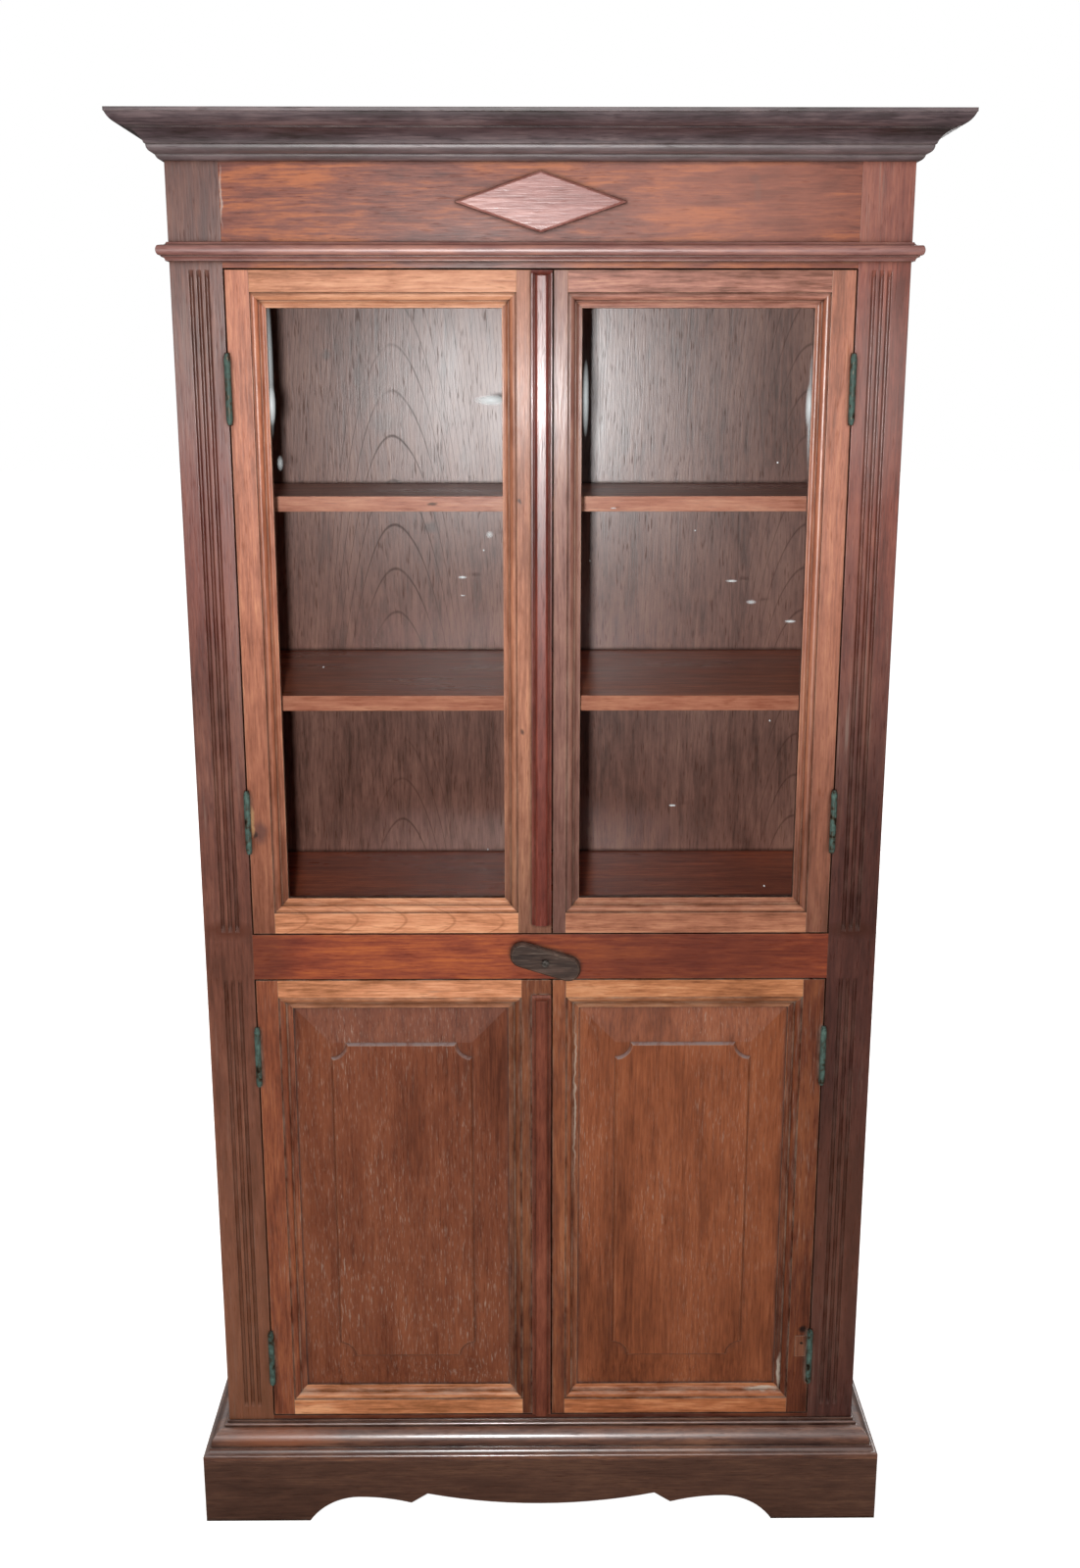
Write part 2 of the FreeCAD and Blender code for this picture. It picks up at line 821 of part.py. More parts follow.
def raised_panel(door):
    """A raised and fielded panel, with a quarter-round notch in each corner of its field."""
    left, right, low, high = door.sight
    lap = groove_depth - panel_edge_clearance
    tongue_y = front_y + groove_front + joint_clearance
    back = front_y + groove_front + groove_width - joint_clearance
    field_y = front_y + panel_field_depth
    step_y = field_y + panel_field_step
    board = block(left - lap, right + lap, tongue_y, back, low - lap, high + lap)

    x0, x1 = left + panel_bevel_width, right - panel_bevel_width
    z0, z1 = low + panel_bevel_width, high - panel_bevel_width
    thin = panel_edge_clearance
    bevel = Part.makeWedge(
        x0, step_y, z0, low + thin, left + thin, x1, tongue_y, z1, high - thin, right - thin
    )
    radius = panel_notch_radius
    lean = radius * math.sqrt(2) / 2
    corners = [
        (x0 + radius, z0),
        (x1 - radius, z0),
        ((x1, z0 + radius), (x1 - lean, z0 + lean)),
        (x1, z1 - radius),
        ((x1 - radius, z1), (x1 - lean, z1 - lean)),
        (x0 + radius, z1),
        ((x0, z1 - radius), (x0 + lean, z1 - lean)),
        (x0, z0 + radius),
        ((x0 + radius, z0), (x0 + lean, z0 + lean)),
    ]
    field = front_chamfered(field_plate(corners, field_y, step_y), field_y, panel_field_chamfer)
    return board.fuse([bevel, field]).removeSplitter()


def field_plate(corners, near_y, far_y):
    """The plate of a closed outline whose last arc ends at its first corner."""
    edges = []
    start = corners[0]
    for corner in corners[1:]:
        if isinstance(corner[0], tuple):
            end, way = corner
            edges.append(Part.Arc(*[point(x, near_y, z) for x, z in (start, way, end)]).toShape())
        else:
            end = corner
            edges.append(Part.makeLine(point(start[0], near_y, start[1]), point(end[0], near_y, end[1])))
        start = end
    return Part.Face(Part.Wire(edges)).extrude(point(0, far_y - near_y, 0))


def front_chamfered(plate, near_y, chamfer):
    """The plate with the rim of its front face chamfered."""
    rim = [edge for edge in plate.Edges if all(abs(v.Y - near_y) < joint_clearance for v in edge.Vertexes)]
    return plate.makeChamfer(chamfer, rim)


def astragal(door, low, high):
    """Moulded cover strip along the lock edge, its top end scooped."""
    x0 = door.lock_edge - astragal_width
    corners = shared_corners(
        astragal_shares, astragal_width, astragal_proud,
        lambda across, out: point(x0 + across, front_y - out, low),
    )
    strip = outline_face(corners).extrude(point(0, 0, high - low))
    scoop = Part.makeCylinder(
        astragal_scoop_radius, astragal_width + 2 * overrun,
        point(x0 - overrun, front_y - astragal_proud, high), x_axis,
    )
    return strip.cut(scoop)


def door_pieces(door):
    pieces = {
        "hinge_stile": door_stile(door, True),
        "lock_stile": door_stile(door, False),
        "top_rail": door_rail(door, True),
        "bottom_rail": door_rail(door, False),
        "hinge_leaves": Part.makeCompound([door_leaf(level) for level in door.hinge_levels]),
    }
    if door.glazed:
        pieces["glass"] = door_glass(door)
        pieces["glazing_beads"] = Part.makeCompound(glazing_beads(door))
    else:
        pieces["panel"] = raised_panel(door)
    return pieces


# Turn button


def turned(shape):
    """Turns a piece about the button's screw from level to where the button is left."""
    copy = shape.copy()
    copy.rotate(point(button_offset, 0, button_z), y_axis, button_rest_angle)
    return copy


def turn_button():
    half = button_length / 2
    radius = button_width / 2
    straight = half - radius
    x, z = button_offset, button_z
    corners = [
        (x - straight, z - radius),
        (x + straight, z - radius),
        ((x + straight, z + radius), (x + half, z)),
        (x - straight, z + radius),
        ((x - straight, z - radius), (x - half, z)),
    ]
    near_y = button_back_y - button_thickness
    body = front_chamfered(field_plate(corners, near_y, button_back_y), near_y, button_edge_chamfer)
    return turned(body.cut(screw_hole(near_y - overrun, button_back_y + overrun)))


def turn_button_screw():
    """A slotted cheese-head screw through the button and washer into the middle rail."""
    seat_y = button_back_y - button_thickness - button_slack
    x, z = button_offset, button_z
    profile = [
        point(x, seat_y - screw_head_height, z),
        point(x + screw_head_radius, seat_y - screw_head_height, z),
        point(x + screw_head_radius, seat_y, z),
        point(x + screw_shank_radius, seat_y, z),
        point(x + screw_shank_radius, front_y + screw_grip, z),
        point(x, front_y + screw_grip, z),
    ]
    screw = outline_face(profile).revolve(point(x, 0, z), y_axis, 360)
    slot = block(
        x - screw_head_radius - overrun, x + screw_head_radius + overrun,
        seat_y - screw_head_height - overrun, seat_y - screw_head_height + screw_slot_depth,
        z - screw_slot_width / 2, z + screw_slot_width / 2,
    )
    return turned(screw.cut(slot))


def screw_hole(depth_y0, depth_y1):
    start = point(button_offset, depth_y0, button_z)
    return Part.makeCylinder(screw_shank_radius + running_clearance, depth_y1 - depth_y0, start, y_axis)


def turn_button_washer():
    start = point(button_offset, front_y - washer_thickness, button_z)
    washer = Part.makeCylinder(washer_radius, washer_thickness, start, y_axis)
    return washer.cut(screw_hole(front_y - washer_thickness - overrun, front_y + overrun))


# The whole cupboard, one shape for each named piece

nodes = {}

nodes["left_side_panel"] = left_side()
nodes["right_side_panel"] = mirrored(nodes["left_side_panel"])
nodes["left_pilaster"] = left_pilaster()
nodes["right_pilaster"] = mirrored(nodes["left_pilaster"])
for name, (low, high) in rail_levels.items():
    nodes[name] = tenoned_rail(low, high)
nodes["middle_rail"] = nodes["middle_rail"].cut(
    screw_hole(front_y - overrun, front_y + screw_grip + joint_end_clearance)
)
for name, (top, near_y) in shelf_places.items():
    nodes[name] = shelf(top, near_y)
nodes["back_board_left"] = back_board(-1)
nodes["back_board_right"] = back_board(1)
nodes["top_board"] = block(-half_width, half_width, front_y, back_y, carcass_top, cornice_top)
nodes["frieze_lozenge"] = frieze_lozenge()

cornice = moulding(cornice_shares, cornice_projection, cornice_height, cornice_bottom)
nodes["cornice_front"] = cornice[0]
nodes["cornice_returns"] = Part.makeCompound(cornice[1:])
nodes["waist_moulding"] = Part.makeCompound(
    moulding(waist_shares, waist_projection, waist_moulding_height, waist_bottom)
)
nodes["base_moulding"] = Part.makeCompound(
    moulding(base_shares, plinth_projection, base_moulding_height, plinth_height)
)

nodes["plinth_front"] = plinth_front()
nodes["plinth_left"] = plinth_left()
nodes["plinth_right"] = mirrored(nodes["plinth_left"])
nodes["plinth_back"] = plinth_back()
nodes["plinth_corner_blocks"] = Part.makeCompound(plinth_corner_blocks())

hinge_levels = upper_hinge_levels + lower_hinge_levels
left_frame_leaves = [frame_leaf(level) for level in hinge_levels]
left_pins = [hinge_pin(level) for level in hinge_levels]
right_frame_leaves = [mirrored(leaf) for leaf in left_frame_leaves]
right_pins = [mirrored(pin) for pin in left_pins]
nodes["frame_hinge_leaves"] = Part.makeCompound(left_frame_leaves + right_frame_leaves)
nodes["hinge_pins"] = Part.makeCompound(left_pins + right_pins)

upper_sizes = (upper_door_bottom, upper_door_top)
upper_rails = (upper_door_bottom_rail, upper_door_top_rail, upper_hinge_levels, True)
lower_sizes = (lower_door_bottom, lower_door_top)
lower_rails = (lower_door_bottom_rail, lower_door_top_rail, lower_hinge_levels, False)
doors = {
    "upper_left": Door(left_door_width, *upper_sizes, upper_cover_stile_width, *upper_rails),
    "upper_right": Door(right_door_width, *upper_sizes, upper_meeting_stile_width, *upper_rails),
    "lower_left": Door(left_door_width, *lower_sizes, lower_cover_stile_width, *lower_rails),
    "lower_right": Door(right_door_width, *lower_sizes, lower_meeting_stile_width, *lower_rails),
}
for place, door in doors.items():
    for name, shape in door_pieces(door).items():
        nodes[place + "_" + name] = mirrored(shape) if place.endswith("right") else shape
nodes["upper_left_astragal"] = astragal(doors["upper_left"], button_z + button_reach, upper_door_top)
nodes["lower_left_astragal"] = astragal(doors["lower_left"], lower_door_bottom, button_z - button_reach)

nodes["turn_button"] = turn_button()
nodes["turn_button_screw"] = turn_button_screw()
nodes["turn_button_washer"] = turn_button_washer()

os.makedirs("parts", exist_ok=True)
for name, shape in nodes.items():
    shape.exportStep("parts/" + name + ".step")
    print(name, len(shape.Solids), "solids", round(shape.Volume), "mm3", shape.isValid())
print(len(nodes), "pieces")
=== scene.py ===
import math

import bmesh
import bpy
from mathutils import Euler, Matrix, Vector


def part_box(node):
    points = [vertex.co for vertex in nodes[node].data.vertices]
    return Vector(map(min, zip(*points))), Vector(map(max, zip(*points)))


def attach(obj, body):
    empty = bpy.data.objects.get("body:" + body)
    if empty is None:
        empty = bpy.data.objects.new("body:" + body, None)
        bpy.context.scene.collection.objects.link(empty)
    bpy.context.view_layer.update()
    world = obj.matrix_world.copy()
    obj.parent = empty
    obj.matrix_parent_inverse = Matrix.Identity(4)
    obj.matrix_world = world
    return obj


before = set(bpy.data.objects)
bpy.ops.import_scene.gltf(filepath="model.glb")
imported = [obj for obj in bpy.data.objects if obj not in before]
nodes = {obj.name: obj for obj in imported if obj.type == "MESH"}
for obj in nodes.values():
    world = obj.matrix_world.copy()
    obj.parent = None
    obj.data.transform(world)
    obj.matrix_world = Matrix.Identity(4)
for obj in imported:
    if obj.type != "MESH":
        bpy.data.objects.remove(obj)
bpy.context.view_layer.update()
mm = 0.001
print("frame loaded,", len(nodes), "nodes")


def linear(hexColour):
    # the sockets take linear light, the hex values are sRGB
    channels = [int(hexColour[at:at + 2], 16) / 255 for at in (1, 3, 5)]
    return [c / 12.92 if c <= 0.04045 else ((c + 0.055) / 1.055) ** 2.4 for c in channels] + [1.0]


def perMetre(sizeMm):
    # texture scale for a pattern of this size, since Object coordinates are in metres
    return 1000 / sizeMm


def add(tree, kind, settings=None, out=0, **inputs):
    # adds a node with its settings and links, and gives back one of its outputs
    # in socket names an underscore stands for a space, and _0 is the first socket
    node = tree.nodes.new(kind)
    for name, value in (settings or {}).items():
        if name == "stops":
            ramp = node.color_ramp
            while len(ramp.elements) < len(value):
                ramp.elements.new(1.0)
            for element, (place, colour) in zip(ramp.elements, value):
                element.position = place
                element.color = linear(colour)
        else:
            setattr(node, name, value)
    for name, value in inputs.items():
        socket = node.inputs[int(name[1:])] if name[1:].isdigit() else node.inputs[name.replace("_", " ")]
        if isinstance(value, bpy.types.NodeSocket):
            tree.links.new(value, socket)
        else:
            socket.default_value = value
    return node.outputs[out] if len(node.outputs) else node


def newMaterial(name):
    material = bpy.data.materials.new(name)
    material.use_nodes = True
    material.node_tree.nodes.clear()
    return material, material.node_tree


# Varnished teak, hand planed. Soft long streaks and fine fibres run along the board, with short dark pores
# between them. The old varnish is satin with a thin gloss left on it, rubbed pale on the proud edges, which
# also paints a highlight there, with grime and painted shade darkening the quirks of the mouldings and dust
# on the ledges. Pores are drawn coarse enough to show.
grainTurn = {"z": (0, 0, 0), "x": (0, -math.pi / 2, 0), "y": (math.pi / 2, 0, 0)}
teakCommon = {
    "streakMm": 15.0,
    "streakStretch": 0.08,
    "streak": 1.3,
    "fibreMm": 2.6,
    "fibre": 1.3,
    "mottleMm": 110.0,
    "mottle": 1.2,
    "speckMm": 12.0,
    "speck": 0.9,
    "poreMm": 2.0,
    "pore": 0.45,
    "swayMm": 9.0,
    "swayPatternMm": 85.0,
    "swayStretch": 0.16,
    "scuffMm": 2.2,
    "scuffStretch": 0.07,
    "scuff": 0.0,
    "scuffTone": "#b3a090",
    # darkening in quirks, corners and between parts, from ambient occlusion: grime and painted shade
    "grimeAndShade": 0.8,
    "grimeAndShadeMm": 6.0,
    "grimeAndShadeFrom": (0.96, 0.55),
    "grimeAndShadeTone": "#190e0b",
    "dust": 0.15,
    "ledge": 0.2,
    "ledgeFrom": (0.30, 0.85),
    "dustTone": "#b0a297",
    "dustFrom": (0.40, 0.66),
    "wearAndHighlight": 0.45,
    "wearMm": 1.4,
    "wornAndHighlightTone": "#b98f70",
    "fade": 0.0,
    "fadeFrom": (1.6, 0.15),
    "fadeTone": "#24130f",
    "roughness": (0.44, 0.54),
    "shine": 0.3,
    "coat": 0.06,
    "coatRoughness": 0.2,
    "bumpMm": 0.3,
    "archMm": 0.0,
    "raggedMm": 14.0,
    "raggedReachMm": 9.0,
    "marks": (),
}
# steps along the fourth axis of the noises, so that no two boards or patterns match
seedSteps = {"sway": 3.7, "board": 1.7, "pattern": 5.1}


def teakGrain(tree, look, grain, middle, seed):
    # coordinates centred on the board with Z along the grain, swayed as real fibres are, and their noises
    turn = Euler(grainTurn[grain])
    start = -(turn.to_matrix() @ Vector(middle))
    seat = add(tree, "ShaderNodeTexCoord", out="Object")
    board = add(tree, "ShaderNodeMapping", Vector=seat, Rotation=turn, Location=start)
    slow = add(tree, "ShaderNodeMapping", Vector=board, Scale=(1, 1, look["swayStretch"]))
    sway = add(
        tree, "ShaderNodeTexNoise", {"noise_dimensions": "4D"}, "Color",
        Vector=slow, W=seed * seedSteps["sway"], Scale=perMetre(look["swayPatternMm"]), Detail=1.5,
    )
    sway = add(tree, "ShaderNodeVectorMath", {"operation": "SUBTRACT"}, _0=sway, _1=(0.5, 0.5, 0.5))
    swayed = add(
        tree, "ShaderNodeVectorMath", {"operation": "MULTIPLY_ADD"},
        _0=sway, _1=(look["swayMm"] * mm,) * 3, _2=board,
    )
    # each noise: its stretch along the grain, size across it, detail and roughness
    layers = {
        "streak": (look["streakStretch"], look["streakMm"], 5.0, 0.6),
        "fibre": (0.06, look["fibreMm"], 4.0, 0.6),
        "mottle": (0.35, look["mottleMm"], 4.0, 0.55),
        "pore": (0.10, look["poreMm"], 1.0, 0.5),
        "scuff": (look["scuffStretch"], look["scuffMm"], 2.0, 0.6),
        "speck": (0.30, look["speckMm"], 4.0, 0.7),
    }
    noise = {}
    for order, (name, (stretch, sizeMm, detail, roughness)) in enumerate(layers.items()):
        drawn = add(tree, "ShaderNodeMapping", Vector=swayed, Scale=(1, 1, stretch))
        noise[name] = add(
            tree, "ShaderNodeTexNoise", {"noise_dimensions": "4D"}, "Fac",
            Vector=drawn, W=seed * seedSteps["board"] + order * seedSteps["pattern"],
            Scale=perMetre(sizeMm), Detail=detail, Roughness=roughness,
        )
    return seat, swayed, noise


def ovalReach(tree, place, spot):
    # 0 at the middle of an oval on the front, 1 at its rim
    x, z = spot["at"]
    width, height = spot["half"]
    apart = add(tree, "ShaderNodeVectorMath", {"operation": "SUBTRACT"}, _0=place, _1=(x * mm, 0, z * mm))
    apart = add(
        tree, "ShaderNodeVectorMath", {"operation": "MULTIPLY"},
        _0=apart, _1=(perMetre(width), 0, perMetre(height)),
    )
    return add(tree, "ShaderNodeVectorMath", {"operation": "LENGTH"}, "Value", _0=apart)


def teakColour(tree, look, seat, swayed, noise):
    # one tone value from four of the noises, then the board's own colours
    toned = ("streak", "fibre", "mottle", "speck")
    tone = 0.5 - 0.5 * sum(look[name] for name in toned)
    for name in toned:
        tone = add(
            tree, "ShaderNodeMath", {"operation": "MULTIPLY_ADD"}, _0=noise[name], _1=look[name], _2=tone
        )
    places = (0.10, 0.50, 0.90)
    stops = list(zip(places, look["tones"]))
    colour = add(tree, "ShaderNodeValToRGB", {"stops": stops}, "Color", Fac=tone)
    if "frontTones" in look:
        # painted light: the front edge of a shelf takes its own tones, apart from its top, matching how each
        # face is lit
        stops = list(zip(places, look["frontTones"]))
        paler = add(tree, "ShaderNodeValToRGB", {"stops": stops}, "Color", Fac=tone)
        normal = add(tree, "ShaderNodeNewGeometry", out="True Normal")
        facing = add(tree, "ShaderNodeSeparateXYZ", out="Y", Vector=normal)
        front = add(tree, "ShaderNodeMath", {"operation": "LESS_THAN"}, _0=facing, _1=-0.5)
        colour = add(tree, "ShaderNodeMix", {"data_type": "RGBA"}, 2, Factor=front, _6=colour, _7=paler)
    pits = 0.0
    if look["archMm"]:
        # growth lines of a flat-sawn board, arching up about its heart line
        apart = add(
            tree, "ShaderNodeVectorMath", {"operation": "SUBTRACT"},
            _0=swayed, _1=(look["heartMm"] * mm, 0, look["apexMm"] * mm),
        )
        across = add(tree, "ShaderNodeSeparateXYZ", out="X", Vector=apart)
        along = add(tree, "ShaderNodeSeparateXYZ", out="Z", Vector=apart)
        bow = add(tree, "ShaderNodeMath", {"operation": "MULTIPLY"}, _0=across, _1=across)
        rise = add(
            tree, "ShaderNodeMath", {"operation": "MULTIPLY_ADD"}, _0=bow, _1=look["archCurve"], _2=along
        )
        count = add(tree, "ShaderNodeMath", {"operation": "MULTIPLY"}, _0=rise, _1=perMetre(look["archMm"]))
        fold = add(tree, "ShaderNodeMath", {"operation": "PINGPONG"}, _0=count, _1=0.5)
        line = add(tree, "ShaderNodeMapRange", Value=fold, From_Min=0.05, From_Max=0.01)
        faint = add(
            tree, "ShaderNodeMapRange", Value=noise["mottle"],
            From_Min=0.34, From_Max=0.52, To_Max=look["arch"],
        )
        line = add(tree, "ShaderNodeMath", {"operation": "MULTIPLY"}, _0=line, _1=faint)
        pits = line
        colour = add(
            tree, "ShaderNodeMix", {"data_type": "RGBA"}, 2,
            Factor=line, _6=colour, _7=linear(look["archTone"]),
        )
    pore = add(
        tree, "ShaderNodeMapRange", Value=noise["pore"], From_Min=0.60, From_Max=0.72, To_Max=look["pore"]
    )
    colour = add(
        tree, "ShaderNodeMix", {"data_type": "RGBA"}, 2, Factor=pore, _6=colour, _7=linear(look["tones"][0])
    )
    pits = add(tree, "ShaderNodeMath", {"operation": "MAXIMUM"}, _0=pore, _1=pits)
    if look["fade"]:
        # the board changes its tone towards the floor
        level = add(tree, "ShaderNodeSeparateXYZ", out="Z", Vector=seat)
        high, low = look["fadeFrom"]
        deep = add(tree, "ShaderNodeMapRange", Value=level, From_Min=high, From_Max=low, To_Max=look["fade"])
        colour = add(
            tree, "ShaderNodeMix", {"data_type": "RGBA"}, 2,
            Factor=deep, _6=colour, _7=linear(look["fadeTone"]),
        )
    # knots, stains, worn places, and patches of painted sheen and painted shade, each a ragged oval on the
    # front; a matt one also takes the shine off
    if look["marks"]:
        uneven = add(
            tree, "ShaderNodeTexNoise", None, "Color",
            Vector=seat, Scale=perMetre(look["raggedMm"]), Detail=3.0,
        )
        uneven = add(tree, "ShaderNodeVectorMath", {"operation": "SUBTRACT"}, _0=uneven, _1=(0.5, 0.5, 0.5))
    for mark in look["marks"]:
        raggedReach = min(look["raggedReachMm"], 4 * min(mark["half"]))
        ragged = add(
            tree, "ShaderNodeVectorMath", {"operation": "MULTIPLY_ADD"},
            _0=uneven, _1=(raggedReach * mm,) * 3, _2=seat,
        )
        reach = ovalReach(tree, ragged, mark)
        inside = add(
            tree, "ShaderNodeMapRange", Value=reach, From_Min=1.0, From_Max=0.4, To_Max=mark["depth"]
        )
        colour = add(
            tree, "ShaderNodeMix", {"data_type": "RGBA"}, 2, Factor=inside, _6=colour, _7=linear(mark["tone"])
        )
        if mark.get("matt"):
            pits = add(tree, "ShaderNodeMath", {"operation": "MAXIMUM"}, _0=inside, _1=pits)
    return colour, pits


def teakAge(tree, look, colour, noise):
    # pale flecks rubbed into the pores, in patches
    fleck = add(tree, "ShaderNodeMapRange", Value=noise["scuff"], From_Min=0.56, From_Max=0.70)
    patch = add(
        tree, "ShaderNodeMapRange", Value=noise["mottle"], From_Min=0.42, From_Max=0.62, To_Max=look["scuff"]
    )
    fleck = add(tree, "ShaderNodeMath", {"operation": "MULTIPLY"}, _0=fleck, _1=patch)
    colour = add(
        tree, "ShaderNodeMix", {"data_type": "RGBA"}, 2, Factor=fleck, _6=colour, _7=linear(look["scuffTone"])
    )
    # quirks, corners and joints are darkened towards near-black by ambient occlusion: grime, and painted
    # shade
    openness = add(
        tree, "ShaderNodeAmbientOcclusion", {"samples": 6}, "AO", Distance=look["grimeAndShadeMm"] * mm
    )
    unoccluded, occluded = look["grimeAndShadeFrom"]
    tuck = add(tree, "ShaderNodeMapRange", Value=openness, From_Min=unoccluded, From_Max=occluded)
    grimeAndShade = add(tree, "ShaderNodeMath", {"operation": "MULTIPLY"}, _0=tuck, _1=look["grimeAndShade"])
    colour = add(
        tree, "ShaderNodeMix", {"data_type": "RGBA"}, 2, Factor=grimeAndShade, _6=colour, _7=linear(look["grimeAndShadeTone"])
    )
    # dust lies in the corners here and there, and on whatever faces up
    normal = add(tree, "ShaderNodeNewGeometry", out="True Normal")
    upward = add(tree, "ShaderNodeSeparateXYZ", out="Z", Vector=normal)
    level, full = look["ledgeFrom"]
    ledge = add(tree, "ShaderNodeMapRange", Value=upward, From_Min=level, From_Max=full, To_Max=look["ledge"])
    corner = add(tree, "ShaderNodeMath", {"operation": "MULTIPLY"}, _0=tuck, _1=look["dust"])
    settled = add(tree, "ShaderNodeMath", {"operation": "MAXIMUM"}, _0=ledge, _1=corner)
    bare, covered = look["dustFrom"]
    thick = add(tree, "ShaderNodeMapRange", Value=noise["speck"], From_Min=bare, From_Max=covered)
    settled = add(tree, "ShaderNodeMath", {"operation": "MULTIPLY"}, _0=settled, _1=thick)
    colour = add(
        tree, "ShaderNodeMix", {"data_type": "RGBA"}, 2,
        Factor=settled, _6=colour, _7=linear(look["dustTone"]),
    )
    # edges are a little rounded, and the proud ones rubbed pale, which also paints a highlight on them
    rounded = add(tree, "ShaderNodeBevel", {"samples": 4}, Radius=look["wearMm"] * mm)
    agree = add(tree, "ShaderNodeVectorMath", {"operation": "DOT_PRODUCT"}, "Value", _0=rounded, _1=normal)
    edge = add(tree, "ShaderNodeMapRange", Value=agree, From_Min=0.99, From_Max=0.86)
    proud = add(tree, "ShaderNodeMapRange", Value=openness, From_Min=0.65, From_Max=0.92)
    rub = add(
        tree, "ShaderNodeMapRange", Value=noise["speck"], From_Min=0.34, From_Max=0.62, To_Max=look["wearAndHighlight"]
    )
    edge = add(tree, "ShaderNodeMath", {"operation": "MULTIPLY"}, _0=edge, _1=proud)
    edge = add(tree, "ShaderNodeMath", {"operation": "MULTIPLY"}, _0=edge, _1=rub)
    colour = add(
        tree, "ShaderNodeMix", {"data_type": "RGBA"}, 2, Factor=edge, _6=colour, _7=linear(look["wornAndHighlightTone"])
    )
    return colour, tuck, rounded


def teak(name, look, grain, middle, seed):
    look = {**teakCommon, **look}
    material, tree = newMaterial(name)
    seat, swayed, noise = teakGrain(tree, look, grain, middle, seed)
    colour, pits = teakColour(tree, look, seat, swayed, noise)
    colour, tuck, rounded = teakAge(tree, look, colour, noise)
    # neither the darkened hollows nor open grain shines
    dull = add(tree, "ShaderNodeMath", {"operation": "MAXIMUM"}, _0=tuck, _1=pits)
    polish = add(tree, "ShaderNodeMath", {"operation": "SUBTRACT"}, _0=1.0, _1=dull)
    shine = add(tree, "ShaderNodeMath", {"operation": "MULTIPLY"}, _0=polish, _1=look["shine"])
    coat = add(tree, "ShaderNodeMath", {"operation": "MULTIPLY"}, _0=polish, _1=look["coat"])
    smooth, rough = look["roughness"]
    satin = add(
        tree, "ShaderNodeMapRange", Value=noise["mottle"],
        From_Min=0.35, From_Max=0.65, To_Min=smooth, To_Max=rough,
    )
    height = add(
        tree, "ShaderNodeMath", {"operation": "MULTIPLY_ADD"}, _0=noise["pore"], _1=-0.5, _2=noise["fibre"]
    )
    bump = add(
        tree, "ShaderNodeBump", Height=height, Strength=0.35, Distance=look["bumpMm"] * mm, Normal=rounded
    )
    shader = add(
        tree, "ShaderNodeBsdfPrincipled", Base_Color=colour, Roughness=satin, Normal=bump, IOR=1.5,
        Specular_IOR_Level=shine, Coat_Weight=coat, Coat_Roughness=look["coatRoughness"],
        Coat_IOR=1.5, Coat_Normal=bump,
    )
    add(tree, "ShaderNodeOutputMaterial", Surface=shader)
    return material


def dress(node, material):
    piece = nodes[node]
    piece.data.materials.clear()
    piece.data.materials.append(material)


boardCount = 0


def board(node, look, lookName, grain):
    global boardCount
    boardCount += 1
    low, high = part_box(node)
    dress(node, teak(lookName + "." + node, look, grain, (low + high) / 2, boardCount))


# What the boards that keep a little of their gloss have in common
varnished = {"shine": 0.6, "roughness": (0.40, 0.48), "coat": 0.1, "coatRoughness": 0.24}

# Cornice, base moulding and plinth: teak under a nearly black old varnish, still glossy on the mouldings
corniceTeak = {
    # the grey in these tones is partly painted sheen on the mouldings
    "tones": ("#31211f", "#523f43", "#755f60"),
    "mottle": 1.8,
    "mottleMm": 70.0,
    # pale lines on the fillets of the cornice: wear, and painted highlight
    "wornAndHighlightTone": "#a89a92",
    "wearAndHighlight": 0.7,
    "shine": 1.0,
    "roughness": (0.44, 0.52),
    "coat": 0.5,
    "coatRoughness": 0.4,
    "ledge": 0.35,
    # painted sheen: a pale grey band along the low mould of the cornice
    "marks": ({"at": (0, 1864), "half": (1200, 14), "depth": 0.22, "tone": "#a08c8a"},),
}
baseTeak = {
    "tones": ("#462820", "#684030", "#8e5d43"),
    "wornAndHighlightTone": "#a07a60",
    "wearAndHighlight": 0.25,
    "shine": 1.0,
    "roughness": (0.32, 0.38),
    "coat": 1.0,
    "coatRoughness": 0.18,
    "bumpMm": 0.05,
    "ledge": 0.1,
    # painted sheen: an orange glow on the left of the moulding
    "marks": ({"at": (-375, 126), "half": (100, 16), "depth": 0.6, "tone": "#a85f38"},),
}
plinthTeak = {
    "tones": ("#482f25", "#5b3c2f", "#704d3a"),
    "wornAndHighlightTone": "#7d5a44",
    "streak": 0.7,
    "mottle": 0.9,
    "ledge": 0.0,
}
board("cornice_front", corniceTeak, "darkVarnishedTeak", "x")
board("cornice_returns", corniceTeak, "darkVarnishedTeak", "y")
board("base_moulding", baseTeak, "darkVarnishedTeak", "x")
for node, grain in (
    ("plinth_front", "x"), ("plinth_left", "y"), ("plinth_right", "y"), ("plinth_back", "x"),
    ("plinth_corner_blocks", "z"),
):
    board(node, plinthTeak, "darkVarnishedTeak", grain)

